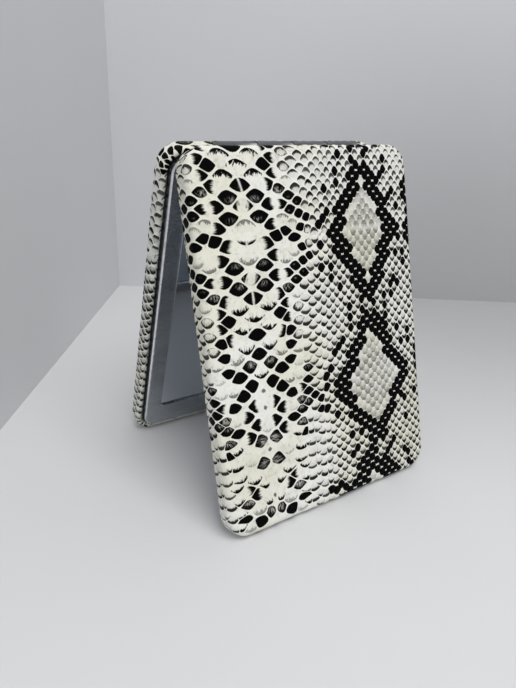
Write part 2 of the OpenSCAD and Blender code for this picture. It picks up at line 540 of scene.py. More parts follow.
@dataclass(frozen=True)
class Finish:
    """A material of the compact, with the Principled shader that every finish ends in."""

    name: str

    def material(self) -> bpy.types.Material:
        """Gives the finish's material, building it the first time."""
        found = bpy.data.materials.get(self.name)
        if found is not None:
            return found
        made = bpy.data.materials.new(self.name)
        made.use_nodes = True
        made.node_tree.nodes.clear()
        board = Board(made.node_tree)
        shader = board.add("BsdfPrincipled")
        board.add("OutputMaterial", Surface=shader.outputs[0])
        self.wire(board, shader)
        return made

    def wire(self, board: Board, shader: bpy.types.Node) -> None:
        """Wires what feeds the shader."""
        raise NotImplementedError

    def emboss(self, board: Board, shader: bpy.types.Node, height: object, strength: float,
               distance: float) -> None:
        """Wires a height to the shader as a bump."""
        bump = board.add("Bump", Strength=strength, Distance=distance, Height=height)
        board.feed(shader.inputs["Normal"], bump.outputs[0])

    def roughen(self, board: Board, shader: bpy.types.Node, start: float,
                *terms: tuple[bpy.types.NodeSocket, float]) -> None:
        """Wires the roughness as a start value plus masks times their weights."""
        rough: object = start
        for number, (mask, weight) in enumerate(terms, 1):
            rough = board.math("MULTIPLY_ADD", mask, weight, rough, clamp=number == len(terms))
        board.feed(shader.inputs["Roughness"], rough)


@dataclass(frozen=True)
class MetalFinish(Finish):
    """Plated or bare metal with fine grain, traces of use and brighter rims, which are partly wear and partly
    a painted highlight.
    """

    colour: Colour = (0.6, 0.61, 0.63)
    # Colour of the rims, lighter both as worn plating and as a painted highlight
    worn: Colour = (0.75, 0.75, 0.76)
    roughness: float = 0.3
    grain_scale: float = 5000.0
    grain_stretch: float = 0.12
    grain_depth: float = 0.25
    dust: Colour = (0.5, 0.5, 0.48)
    patch_scale: float = 120.0
    patch_dark: float = 0.82
    grain_rough: float = 0.08
    smudge_rough: float = 0.14
    scratch_rough: float = 0.15
    rim_smooth: float = 0.1
    relief_depth: float = 0.00002

    def wire(self, board: Board, shader: bpy.types.Node) -> None:
        """Wires the metal's colour, roughness and grain."""
        shader.inputs["Metallic"].default_value = 1.0
        grain = FineGrain.use(board, Scale=self.grain_scale, Stretch=self.grain_stretch, Contrast=1.0)
        traces = Handling.use(board, Smudges=0.6, Scratches=0.5, Dust=0.15)
        rim_wear_and_highlight = RimWearAndHighlight.use(board, Amount=0.8, Breakup=700.0)
        shade = board.noise(board.place(), self.patch_scale, 3.0)
        darker = tuple(part * self.patch_dark for part in self.colour)
        base = board.mix(board.ramp(shade, 0.35, 0.7), rgba(self.colour), rgba(darker))
        # Painted highlight and wear: the rims that the piece marks are mixed towards a lighter colour
        base = board.mix(rim_wear_and_highlight.outputs["Mask"], base, rgba(self.worn))
        base = board.mix(traces.outputs["Dust"], base, rgba(self.dust))
        board.feed(shader.inputs["Base Color"], base)
        self.roughen(
            board, shader, self.roughness - self.grain_rough / 2,
            (grain.outputs["Mask"], self.grain_rough), (traces.outputs["Smudge"], self.smudge_rough),
            (traces.outputs["Scratch"], self.scratch_rough), (rim_wear_and_highlight.outputs["Mask"], -self.rim_smooth),
        )
        self.emboss(board, shader, grain.outputs["Height"], self.grain_depth, self.relief_depth)


@dataclass(frozen=True)
class SilverFinish(Finish):
    """The silvered face of the mirror, with faint smudges and dust."""

    colour: Colour = (0.66, 0.71, 0.76)
    dull: Colour = (0.60, 0.65, 0.70)
    dust: Colour = (0.62, 0.62, 0.6)
    roughness: float = 0.015
    patch_scale: float = 60.0
    smudge_rough: float = 0.07
    dust_rough: float = 0.5

    def wire(self, board: Board, shader: bpy.types.Node) -> None:
        """Wires the silvering and what dulls it."""
        shader.inputs["Metallic"].default_value = 1.0
        traces = Handling.use(board, Smudges=0.6, Scratches=0.25, Dust=0.5)
        patch = board.noise(board.place(), self.patch_scale)
        base = board.mix(patch, rgba(self.colour), rgba(self.dull))
        base = board.mix(traces.outputs["Dust"], base, rgba(self.dust))
        board.feed(shader.inputs["Base Color"], base)
        self.roughen(board, shader, self.roughness, (traces.outputs["Smudge"], self.smudge_rough),
                     (traces.outputs["Dust"], self.dust_rough))


@dataclass(frozen=True)
class PlainFinish(Finish):
    """A dull material with two tones and a grain: foam, card, paper, paint or cut glass."""

    light: Colour = (0.8, 0.8, 0.78)
    dark: Colour = (0.6, 0.6, 0.58)
    roughness: float = 0.8
    patch_scale: float = 300.0
    grain_scale: float = 2500.0
    grain_stretch: float = 1.0
    grain_depth: float = 0.5
    grain_share: float = 0.55
    patch_share: float = 0.45
    grain_rough: float = 0.12
    relief_depth: float = 0.00006

    def wire(self, board: Board, shader: bpy.types.Node) -> None:
        """Wires the tones, the roughness and the grain."""
        grain = FineGrain.use(board, Scale=self.grain_scale, Stretch=self.grain_stretch, Contrast=1.0)
        patch = board.ramp(board.noise(board.place(), self.patch_scale, 4.0), 0.35, 0.68)
        patch = board.math("MULTIPLY", patch, self.patch_share)
        share = board.math("MULTIPLY_ADD", grain.outputs["Mask"], self.grain_share, patch)
        board.feed(shader.inputs["Base Color"], board.mix(share, rgba(self.light), rgba(self.dark)))
        self.roughen(board, shader, self.roughness - self.grain_rough / 2,
                     (grain.outputs["Mask"], self.grain_rough))
        self.emboss(board, shader, grain.outputs["Height"], self.grain_depth, self.relief_depth)


@dataclass(frozen=True)
class PrintFinish(Finish):
    """Imitation leather with its snakeskin print, drawn from the attributes of the mesh of scales."""

    white: Colour = (0.85, 0.85, 0.80)
    cream: Colour = (0.79, 0.78, 0.67)
    shade: Colour = (0.25, 0.245, 0.205)
    black: Colour = (0.0016, 0.0018, 0.0016)
    roughness: float = 0.42
    gloss: float = 0.03
    edge_scale: float = 3400.0
    ragged_edge: float = 0.34
    ragged_spill: float = 0.3
    grain_scale: float = 2600.0
    crease_scale: float = 420.0
    crease_share: float = 3.2
    relief_depth: float = 0.00004
    comb_scale: tuple[float, float, float] = (4.2, 0.9, 37.0)
    fleck_scale: tuple[float, float, float] = (9.0, 1.2, 91.0)
    grain_rough: float = 0.1
    smudge_rough: float = 0.1
    end_start: float = 0.42
    comb_depth: float = 2.2
    soft_edge: tuple[float, float] = (-0.17, 0.2)
    gap_half: float = 0.16
    gap_share: float = 0.85
    fan_centre: float = 1.7
    worn_centre: tuple[float, float] = (0.2, 0.3)
    worn_reach: float = 1.5
    worn_share: float = 0.6

    def wire(self, board: Board, shader: bpy.types.Node) -> None:
        """Wires the print's ink, the shaded bodies of the scales and the leather's grain."""
        local = board.attribute("scale_local")
        ink = board.attribute("scale_ink")
        lay = board.attribute("scale_lay")
        edge = board.attribute("scale_edge").outputs["Fac"]
        place = board.place()
        axes = board.add("SeparateXYZ", Vector=local.outputs["Vector"])
        across, along, spill = axes.outputs
        rough_edge = board.math("SUBTRACT", board.noise(place, self.edge_scale, 2.5, 0.6), 0.5)
        inside = board.ramp(board.math("MULTIPLY_ADD", rough_edge, self.ragged_edge, edge), 0.88, 1.02)
        distance = board.vector_math("LENGTH", board.add("CombineXYZ", X=across, Y=along).outputs[0])
        distance = board.math("MULTIPLY_ADD", rough_edge, self.ragged_spill, distance)
        flooded = board.math("SUBTRACT", 1.0, board.ramp(distance, 0.97, 1.1))
        inside = board.math("MAXIMUM", inside, board.math("MULTIPLY", flooded, spill))
        tone = board.add("SeparateColor", Color=ink.outputs["Color"]).outputs[2]
        drawn = self.ink_shape(board, across, along, ink, lay)
        drawn = board.math("MULTIPLY", board.math("MULTIPLY", drawn, inside), tone)
        scale = self.scale_colour(board, place, along, inside, ink.outputs["Alpha"])
        board.feed(shader.inputs["Base Color"], board.mix(drawn, scale, rgba(self.black)))
        grain = FineGrain.use(board, Scale=self.grain_scale, Stretch=1.0, Contrast=1.0)
        traces = Handling.use(board, Smudges=0.5, Scratches=0.1, Dust=0.1)
        self.roughen(board, shader, self.roughness - self.grain_rough / 2,
                     (grain.outputs["Mask"], self.grain_rough), (traces.outputs["Smudge"], self.smudge_rough))
        shader.inputs["Specular IOR Level"].default_value = self.gloss
        creases = board.noise(place, self.crease_scale, 3.5, 0.6)
        relief = board.math("MULTIPLY_ADD", creases, self.crease_share, grain.outputs["Height"])
        self.emboss(board, shader, relief, 0.5, self.relief_depth)

    def ink_shape(self, board: Board, across: bpy.types.NodeSocket, along: bpy.types.NodeSocket,
                  ink: bpy.types.Node, lay: bpy.types.Node) -> bpy.types.NodeSocket:
        """Wires the shape of the ink inside a scale.

        Args:
            board: the material's board.
            across: place across the scale, 1 at its end.
            along: place along the scale, 1 at its inked side.
            ink: the attribute with the ink's cover and streaks.
            lay: the attribute with the ink's line, ends, bend and seed.

        Returns:
            A mask of the ink.
        """
        cover, streak, _ = board.add("SeparateColor", Color=ink.outputs["Color"]).outputs
        line, ends, shift = board.add("SeparateColor", Color=lay.outputs["Color"]).outputs
        seed = lay.outputs["Alpha"]
        comb_place = self.spread(board, (across, along, seed), self.comb_scale)
        comb = board.math("SUBTRACT", board.noise(comb_place, 1.3, 2.5, 0.62), 0.5)
        raised = board.math("ADD", along, shift)
        reach = board.vector_math("LENGTH", board.add("CombineXYZ", X=across, Y=raised).outputs[0])
        bare = board.math("MULTIPLY_ADD", cover, -2.0, board.math("ADD", shift, 1.0))
        crescent = board.math("SUBTRACT", reach, bare)
        two_ends = board.math("SUBTRACT", board.math("ABSOLUTE", across), self.end_start)
        blend = board.add("Mix", {"data_type": "FLOAT"})
        for index, value in ((0, ends), (2, crescent), (3, two_ends)):
            board.feed(blend.inputs[index], value)
        level = board.math("MULTIPLY", comb, streak)
        level = board.math("MULTIPLY_ADD", level, self.comb_depth, blend.outputs[0])
        drawn = board.ramp(level, *self.soft_edge)
        middle = board.math("ABSOLUTE", board.math("MULTIPLY_ADD", comb, 0.2, across))
        gap = board.math("SUBTRACT", 1.0, board.ramp(middle, 0.0, self.gap_half))
        gap = board.math("MULTIPLY", gap, line)
        drawn = board.math("MULTIPLY", drawn, board.math("MULTIPLY_ADD", gap, -self.gap_share, 1.0))
        fan = board.math("DIVIDE", across, board.math("ADD", along, self.fan_centre))
        fleck_place = self.spread(board, (fan, along, seed), self.fleck_scale)
        streaks = board.noise(fleck_place, 1.2, 1.5, 0.5)
        x, y = (board.math("ADD", axis, off) for axis, off in zip((across, along), self.worn_centre))
        heart = board.vector_math("LENGTH", board.add("CombineXYZ", X=x, Y=y).outputs[0])
        worn = board.math("SUBTRACT", cover, 1.0, clamp=True)
        heart = board.math("SUBTRACT", board.math("MULTIPLY", worn, self.worn_reach), heart)
        pattern = board.math("MULTIPLY", board.ramp(heart, 0.0, 0.9), board.ramp(streaks, 0.42, 0.66))
        worn = board.math("MULTIPLY", pattern, self.worn_share)
        return board.math("MULTIPLY", drawn, board.math("SUBTRACT", 1.0, worn, clamp=True))

    def spread(self, board: Board, axes: Sequence[bpy.types.NodeSocket],
               scale: Sequence[float]) -> bpy.types.NodeSocket:
        """Gives a place for noise whose axes have scales of their own."""
        x, y, z = (board.math("MULTIPLY", axis, share) for axis, share in zip(axes, scale))
        return board.add("CombineXYZ", X=x, Y=y, Z=z).outputs[0]

    def scale_colour(self, board: Board, place: bpy.types.NodeSocket, along: bpy.types.NodeSocket,
                     inside: bpy.types.NodeSocket, body: bpy.types.NodeSocket) -> bpy.types.NodeSocket:
        """Wires the colour of the bare leather and of the shaded bodies of the scales.

        Args:
            board: the material's board.
            place: the object's own coordinates.
            along: place along the scale.
            inside: a mask of the printed scales.
            body: how grey each scale's body is.

        Returns:
            The colour without the ink.
        """
        warm = board.ramp(board.noise(place, 55.0, 2.0), 0.4, 0.66)
        ground = board.mix(warm, rgba(self.white), rgba(self.cream))
        blotch = board.ramp(board.noise(place, 330.0, 5.0, 0.7), 0.46, 0.72, 0.0, 0.16)
        stain = board.ramp(board.noise(place, 900.0, 4.0, 0.65), 0.5, 0.76, 0.0, 0.36)
        ground = board.mix(board.math("ADD", stain, blotch), ground, rgba(self.shade))
        slope = board.ramp(along, -0.9, 0.9, 0.3, 1.0)
        fill = board.math("MULTIPLY", board.math("MULTIPLY", body, slope), inside)
        mottle = board.ramp(board.noise(place, 1700.0, 3.0, 0.6), 0.3, 0.75, 0.6, 1.2)
        return board.mix(board.math("MULTIPLY", fill, mottle, clamp=True), ground, rgba(self.shade))


@dataclass(frozen=True)
class StageFinish(Finish):
    """The plain painted board of the floor and the walls, with a painted shadow of the compact round one
    place.

    A wall can't be seen from behind.
    """

    colour: Colour = (0.62, 0.62, 0.63)
    one_sided: bool = False
    # Painted shadow: where the compact's shadow is painted on the floor and walls, and how far and how dark
    # it reaches
    cast_shadow_place: tuple[float, float, float] = (0.155, 0.045, 0.01)
    cast_shadow_start: float = 0.02
    cast_shadow_reach: float = 0.17
    cast_shadow_share: float = 0.3
    mottle_scale: float = 18.0
    mottle_dark: float = 0.97
    roughness: float = 0.75
    gloss: float = 0.2

    def wire(self, board: Board, shader: bpy.types.Node) -> None:
        """Wires a faint mottle, the painted shadow and an even roughness."""
        mottle = board.noise(board.place(), self.mottle_scale, 4.0)
        darker = tuple(part * self.mottle_dark for part in self.colour)
        paint = board.mix(mottle, rgba(self.colour), rgba(darker))
        # Painted shadow: the paint is darkened round one place behind the compact
        away = board.vector_math("DISTANCE", board.place(), self.cast_shadow_place)
        painted_shadow = board.ramp(away, self.cast_shadow_start, self.cast_shadow_reach, self.cast_shadow_share, 0.0)
        board.feed(shader.inputs["Base Color"], board.mix(painted_shadow, paint, rgba((0.0, 0.0, 0.0))))
        shader.inputs["Roughness"].default_value = self.roughness
        shader.inputs["Specular IOR Level"].default_value = self.gloss
        if self.one_sided:
            behind = board.add("NewGeometry").outputs["Backfacing"]
            clear = board.add("BsdfTransparent")
            both = board.add("MixShader", Fac=behind)
            board.feed(both.inputs[1], shader.outputs[0])
            board.feed(both.inputs[2], clear.outputs[0])
            board.feed(board.tree.nodes["Material Output"].inputs["Surface"], both.outputs[0])


PRINT = PrintFinish("printed leather")
BACKING = PlainFinish("leather backing cloth", (0.78, 0.78, 0.76), (0.52, 0.52, 0.50), 0.9, 500.0, 1500.0)
FRAME_METAL = MetalFinish("plated frame", (0.45, 0.475, 0.505), (0.86, 0.87, 0.88), 0.28)
HINGE_METAL = MetalFinish("hinge steel", (0.20, 0.205, 0.21), (0.5, 0.5, 0.5), 0.3, 4200.0, 0.2, 0.3)
PIN_METAL = MetalFinish("pin steel", (0.45, 0.46, 0.47), (0.7, 0.7, 0.7), 0.3, 4000.0, 0.05, 0.3)
SHELL_METAL = MetalFinish(
    "stamped shell steel", (0.6, 0.61, 0.63), (0.72, 0.72, 0.73), 0.42, 2600.0, 0.3, 0.4,
)
RIVET_METAL = MetalFinish("rivet steel", (0.62, 0.63, 0.65), (0.78, 0.78, 0.79), 0.32, 3500.0, 1.0, 0.3)
MAGNET_METAL = MetalFinish("nickelled magnet", (0.52, 0.52, 0.52), (0.7, 0.69, 0.66), 0.25, 3000.0, 1.0, 0.2)
SILVER = SilverFinish("silvered glass")
GLASS_EDGE = PlainFinish("ground glass edge", (0.32, 0.46, 0.42), (0.20, 0.33, 0.30), 0.35, 400.0, 3000.0)
GLASS_BACK = PlainFinish("mirror back paint", (0.36, 0.37, 0.38), (0.28, 0.29, 0.30), 0.55, 200.0, 2000.0)
FOAM = PlainFinish("open foam", (0.86, 0.84, 0.74), (0.62, 0.58, 0.44), 0.95, 700.0, 1600.0, 1.0, 0.9)
CARD = PlainFinish("grey card", (0.64, 0.56, 0.44), (0.47, 0.40, 0.30), 0.9, 260.0, 1800.0, 0.4, 0.6)
ADHESIVE = PlainFinish("adhesive sheet", (0.90, 0.90, 0.88), (0.76, 0.76, 0.73), 0.6, 200.0, 2200.0, 0.7, 0.3)


# The snakeskin print


class Ink(Enum):
    """How the print fills one scale."""

    BLANK = auto()
    FAINT = auto()
    FULL = auto()
    SPLIT = auto()
    FAR = auto()
    OUTER = auto()
    INNER = auto()
    FRINGE = auto()
    VEIL = auto()
    ENDS = auto()
    EYES = auto()
    GREY = auto()
    SHADE = auto()
    RING = auto()
    SPOT = auto()
    SMALL = auto()
    DIAMOND = auto()


@dataclass(frozen=True)
class InkLook:
    """What the shader needs to draw a kind of ink.

    Cover is the share of the scale that is inked, from its inked side. Streak breaks the ink's edge
    into a comb, tone is its darkness and body the grey of the bare rest. Line opens a thin gap down
    the middle, ends inks both ends, and shift bends the ink's edge into a crescent.
    """

    cover: float = 0.0
    streak: float = 0.1
    tone: float = 1.0
    body: float = 0.0
    line: float = 0.0
    ends: float = 0.0
    shift: float = 0.45


LOOKS = {
    Ink.BLANK: InkLook(0.0, 0.0, 0.0, 0.08),
    Ink.FAINT: InkLook(0.26, 0.9, 0.5, 0.16, shift=1.0),
    Ink.FULL: InkLook(1.0, 0.3),
    Ink.SPLIT: InkLook(1.2, 0.25, line=1.0),
    Ink.FAR: InkLook(0.36, 0.7, shift=0.8),
    Ink.OUTER: InkLook(0.57, 0.34, shift=2.4),
    Ink.INNER: InkLook(0.54, 0.34, shift=2.4),
    Ink.FRINGE: InkLook(0.39, 1.1, shift=1.8),
    Ink.VEIL: InkLook(0.34, 1.0, 0.72, 0.12, shift=1.0),
    Ink.ENDS: InkLook(0.5, 0.5, 1.0, 0.2, ends=1.0),
    Ink.EYES: InkLook(0.27, 0.4, 1.0, line=1.0, shift=0.6),
    Ink.GREY: InkLook(1.7, 0.5, 1.0, 0.3),
    Ink.SHADE: InkLook(1.7, 0.6, 1.0, 0.4),
    Ink.RING: InkLook(0.36, 0.6, 0.95, 0.55, shift=0.3),
    Ink.SPOT: InkLook(1.2, 0.6, 0.8),
    Ink.DIAMOND: InkLook(0.1, 0.3),
}

# How far the ink's direction is turned, in degrees
TURNS = {Ink.OUTER: 90.0, Ink.SHADE: 90.0, Ink.INNER: -90.0}


@dataclass(frozen=True)
class ScaleColumn:
    """A column of scales beside the print's middle line.

    The first two rows are given by their distance from the print's level line. The others follow
    at the pitch.
    """

    offset: float
    pitch: float
    first: tuple[float, float]

    def rows(self, reach: float) -> list[float]:
        """Gives the distances of the rows from the level line, out to a reach."""
        found = [self.first[0]]
        level = self.first[1]
        while level < reach:
            found.append(level)
            level += self.pitch
        return found


@dataclass(frozen=True)
class Rhombus:
    """One large diamond of the print, by its centre and the middle line of its black border."""

    s: float
    t: float
    half_w: float = 9.3
    half_h: float = 16.6
    border: float = 0.285

    def distance(self, s: float, t: float) -> float:
        """Gives the distance from the border's middle line, -1 and 1 on the border's edges."""
        return (abs(s - self.s) / self.half_w + abs(t - self.t) / self.half_h - 1) / self.border


# Scales that stand off their columns, by how far across and down
NUDGES: dict[tuple[int, int], tuple[float, float]] = {
    (1, 0): (1.2, 0.5), (2, 0): (0.7, -0.9), (3, 0): (0.9, -1.7), (4, 0): (0.3, -0.1),
    (0, 0): (0.0, -0.8), (0, 11): (0.0, 1.5), (0, 12): (0.0, 2.9), (0, 15): (0.0, 2.2),
    (1, 10): (-0.1, -0.35), (1, 11): (-0.1, 0.35), (1, 12): (0.0, 0.9), (1, 13): (-0.6, 0.8),
    (1, 14): (-0.6, -0.6),
    (2, 9): (0.0, 0.7), (2, 10): (0.0, 1.1), (2, 11): (0.0, 2.0), (2, 12): (0.0, 2.7), (2, 13): (0.0, 2.1),
    (2, 14): (0.0, 1.4), (3, 9): (-0.7, 1.2), (3, 10): (0.0, 1.2), (3, 11): (0.0, 1.2), (3, 12): (0.0, 0.4),
    (3, 13): (1.2, 1.1), (3, 14): (1.0, 1.2), (3, 15): (1.0, 1.2), (3, 16): (-0.8, 1.2), (3, 17): (0.0, 1.1),
    (3, 18): (1.2, 1.0), (4, 13): (0.0, -0.9), (4, 14): (0.2, -1.1), (4, 15): (0.4, -1.8),
    (4, 16): (1.0, -2.2),
    (5, 10): (0.0, -0.8), (5, 11): (0.0, -1.0), (5, 12): (0.0, -1.0), (5, 13): (-0.3, -1.3),
}

# Scales of the large-scaled part with an ink of their own, as column and row from the lines of symmetry
MOTIF: dict[Ink, tuple[tuple[int, int], ...]] = {
    Ink.FULL: (
        (0, 5), (0, 6), (1, 1), (1, 2), (1, 6), (1, 7), (2, 0), (2, 4), (2, 7), (2, 8), (2, 15), (2, 16),
        (3, 0), (3, 3), (3, 6), (3, 7), (3, 8), (3, 10), (3, 12), (3, 18), (4, 0), (4, 2), (4, 3), (4, 13),
        (4, 15), (5, 0), (5, 1), (5, 2), (5, 10), (5, 11), (5, 12), (5, 13), (6, 1), (6, 13), (7, 15),
    ),
    Ink.SPLIT: ((0, 3),),
    Ink.ENDS: ((0, 2),),
    Ink.EYES: ((0, 0),),
    Ink.VEIL: ((0, 1), (3, 1), (2, 6), (3, 9), (4, 8)),
    Ink.FRINGE: ((0, 4), (1, 3), (1, 4)),
    Ink.FAR: (
        (0, 7), (1, 5), (1, 12), (1, 13), (2, 12), (3, 13), (3, 14), (3, 15), (4, 16), (4, 17), (4, 18),
        (4, 19), (4, 20), (4, 21),
    ),
    Ink.OUTER: ((1, 0), (1, 8), (1, 9), (2, 3), (2, 5), (2, 13), (3, 2), (4, 11)),
    Ink.INNER: ((2, 1), (2, 2), (2, 9), (2, 10), (3, 4), (3, 5), (3, 16)),
    Ink.SHADE: ((1, 10), (1, 11)),
    Ink.GREY: ((1, 14), (3, 17), (4, 12), (4, 14), (0, 16)),
    Ink.RING: ((6, 0), (4, 5), (4, 6), (4, 7)),
    Ink.SPOT: ((0, 8), (0, 9), (0, 11), (0, 14)),
    Ink.FAINT: ((0, 10), (4, 1), (4, 4), (2, 11), (2, 14), (3, 11), (4, 9), (4, 10)),
}


# Curves of the print, each as places and the value at each place

# How large the scales are, 1 large and 0 small, by distance from the middle line
LARGENESS = ((7, 13, 20, 24), (1.0, 0.55, 0.15, 0.0))
# How far the columns lean in, as a share of the distance down, by distance from the middle line
LEAN = ((10, 18, 26, 34), (0, 0.035, 0.035, 0))
# How far the print is drawn in, by distance below the level line
WAIST = ((16, 24, 27, 33, 38, 44, 50, 58), (0.0, 1.0, 1.25, 1.5, 1.8, 2.0, 1.9, 2.4))
# Share of ink on the small scales, by distance from the level line
SMALL_COVER = ((0, 4, 12, 20, 30, 40, 55), (0.3, 0.4, 0.42, 0.38, 0.33, 0.36, 0.33))
# Grey of the small scales' bare rest, by distance from the level line
SMALL_BODY = ((0, 4, 10, 17, 26, 36, 55), (0.25, 0.6, 0.55, 0.4, 0.24, 0.22, 0.32))
# Extra grey on the cover's sides, by distance down from the hinge
SIDE_BODY = ((14, 24, 30, 45, 55), (-0.6, 0.8, 1.6, 1.6, 1.0))


@dataclass(frozen=True)
class Ovals:
    """Half sizes of the printed ovals, as shares of the columns' gap and pitch, and their form."""

    across: float = 0.69
    across_large: float = 0.1
    down: float = 0.345
    down_small: float = 0.04
    flooded: tuple[float, float] = (0.74, 0.43)
    spot: tuple[float, float] = (0.24, 0.3)
    shaded: float = 1.3
    power: float = 1.55
    power_small: float = 0.47
    dome: float = 0.035
    dome_small: float = 0.1
    sway: float = 24.0


@dataclass(frozen=True)
class Tones:
    """How the ink and the grey of the scales change with their place and from scale to scale.

    A pair is a least value and the span over which a share from 0 to 1 raises it.
    """

    diamond_edge: float = 0.7
    diamond_body: tuple[float, float] = (0.4, 0.85)
    diamond_grey: tuple[float, float] = (0.8, 0.35)
    diamond_tone: tuple[float, float] = (0.1, 0.35)
    full_cover: tuple[float, float] = (0.97, 0.7)
    full_power: float = 2.5
    part_cover: tuple[float, float] = (0.85, 0.3)
    faint_cover: tuple[float, float] = (0.6, 0.8)
    faint_tone: tuple[float, float] = (0.5, 0.8)
    small_cover: tuple[float, float] = (0.65, 0.7)
    small_most: float = 0.5
    small_streak: tuple[float, float] = (0.1, 0.35)
    small_tone: tuple[float, float] = (0.87, 0.13)
    small_body: tuple[float, float] = (0.5, 0.9)
    small_bend: float = 0.05
    close_at: float = 1.8
    close_half: float = 1.4
    close_cover: float = 0.12
    lower_from: float = -8.0
    lower_width: float = 20.0
    lower_depth: float = 12.0
    lower_body: float = 0.85
    lower_cover: float = 0.12
    side_from: float = 29.0
    side_width: float = 2.0
    side_cover: float = 0.5


OVALS = Ovals()
TONES = Tones()


def vary(pair: tuple[float, float], share: float) -> float:
    """Gives a pair's least value, raised by a share of its span."""
    return pair[0] + pair[1] * share


@dataclass(frozen=True)
class Scale:
    """One scale of the print: its seed, the half sizes of its printed oval, and its ink."""

    s: float
    t: float
    half_s: float
    half_t: float
    power: float
    look: InkLook
    turn: float
    far: float
    side: float
    dome: float
    spill: float
    seed: float


@dataclass(frozen=True)
class SnakePrint:
    """Layout of the print on the flat leather, with s to the right and t down from the hinge."""

    axis: float = -18.75
    level: float = 20.5
    half_period: float = 17.9
    large_columns: tuple[ScaleColumn, ...] = (
        ScaleColumn(0.0, 4.15, (0.0, 3.4)),
        ScaleColumn(3.7, 4.35, (0.0, 5.0)),
        ScaleColumn(6.9, 4.2, (0.0, 3.3)),
        ScaleColumn(9.6, 3.25, (0.0, 4.25)),
        ScaleColumn(12.1, 3.1, (0.0, 3.1)),
        ScaleColumn(14.45, 2.85, (2.3, 5.15)),
        ScaleColumn(16.45, 2.72, (1.55, 4.27)),
        ScaleColumn(18.25, 2.66, (0.9, 3.56)),
        ScaleColumn(19.85, 2.58, (2.4, 4.98)),
        ScaleColumn(21.3, 2.557, (1.1, 3.657)),
    )
    small_start: float = 22.65
    small_step: float = 1.25
    rhombi: tuple[Rhombus, ...] = (
        Rhombus(14.9, -14.6),
        Rhombus(14.9, 20.6),
        Rhombus(14.6, 57.9, 10.6, 17.2, 0.225),
        Rhombus(12.6, 93.4, 11.5, 17.2),
        Rhombus(39.6, 20.8),
        Rhombus(40.4, 56.0),
    )
    rows_a_half: int = 7
    wander: float = 0.1
    wander_across: float = 0.35
    wander_down: float = 0.3
    bent_column: int = 3
    bend: tuple[float, float, float] = (0.9, 15.5, 3.5)
    fade_end: float = 25.0
    fade_width: float = 15.4
    still_half: float = 5.0
    top_lean: float = 0.0065
    top_lean_from: float = 6.0
    crossing: float = 14.9
    crossing_half: float = 1.3
    ragged_inside: float = 0.35
    ragged_outside: float = 0.55
    ring: float = 2.4
    ring_half: float = 0.7
    ring_reach: float = 3.5
    ring_share: float = 0.34
    stray_share: float = 0.05
    large_count: int = 5
    faint_share: float = 0.4
    flood_from: int = 8
    motif_reach: int = 40
    side_shade: float = 0.0
    spread: float = 0.6
    seed: int = 11

    def columns(self, reach: float) -> list[ScaleColumn]:
        """Gives all columns out to a distance from the middle line."""
        pitch = self.half_period / self.rows_a_half
        found = list(self.large_columns)
        offset = self.small_start
        while offset < reach:
            even = len(found) % 2 == 0
            found.append(ScaleColumn(offset, pitch, (0.0, pitch) if even else (pitch / 2, pitch * 1.5)))
            offset += self.small_step
        return found

    def lean(self, offset: float) -> float:
        """Gives how far a column leans in towards the middle line, as a share of the distance down."""
        return float(np.interp(offset, *LEAN))

    def chance(self, *keys: int) -> np.random.Generator:
        """Gives the random numbers of one scale."""
        return np.random.default_rng((self.seed, *[key + 1000 for key in keys]))

    def kind(self, column: int, row: int, s: float, t: float, draw: float) -> Ink:
        """Chooses the ink of a scale.

        Args:
            column: number of its column from the middle line.
            row: number of its row from the level line.
            s: its place across.
            t: its place down.
            draw: a random number from 0 to 1.

        Returns:
            The kind of ink.
        """
        near, second = sorted(rhombus.distance(s, t) for rhombus in self.rhombi)[:2]
        if near < -1 + self.ragged_inside * (draw - 0.5):
            return Ink.DIAMOND
        if near < 1 + self.ragged_outside * (draw - 0.5):
            crossing = second < 1 and abs(s - self.crossing) < self.crossing_half
            return Ink.SMALL if crossing else Ink.FULL
        if column > self.motif_reach:
            return Ink.SMALL
        for ink, places in MOTIF.items():
            if (column, row) in places:
                return ink
        if column < self.large_count:
            return Ink.FAINT if draw < self.faint_share else Ink.BLANK
        ring = math.exp(-((near - self.ring) / self.ring_half) ** 2)
        share = self.ring_share * ring + self.stray_share * (near < self.ring_reach)
        return Ink.FULL if draw < share else Ink.SMALL

    def look(self, kind: Ink, s: float, t: float, draws: Array) -> InkLook:
        """Varies the look of a kind of ink for one scale.

        Args:
            kind: the kind of ink.
            s: place across.
            t: place down.
            draws: random numbers from 0 to 1.

        Returns:
            The look for this scale.
        """
        near = min(rhombus.distance(s, t) for rhombus in self.rhombi)
        if kind is Ink.SMALL:
            return self.small_look(s, t, near, draws)
        base = LOOKS[kind]
        cover, tone, body = base.cover, base.tone, base.body
        if kind is Ink.DIAMOND:
            inner = np.clip((-1 - near) / TONES.diamond_edge, 0, 1)
            body = vary(TONES.diamond_body, inner) * vary(TONES.diamond_grey, draws[1])
            tone = vary(TONES.diamond_tone, draws[2])
        elif kind is Ink.FULL and near > self.ring_reach:
            cover = vary(TONES.full_cover, draws[6] ** TONES.full_power)
        elif kind in (Ink.FAR, Ink.OUTER, Ink.INNER, Ink.FRINGE):
            cover *= vary(TONES.part_cover, draws[0])
        elif kind is Ink.FAINT:
            cover *= vary(TONES.faint_cover, draws[0])
            tone *= vary(TONES.faint_tone, draws[2])
        return replace(base, cover=float(cover), tone=float(tone), body=float(body))

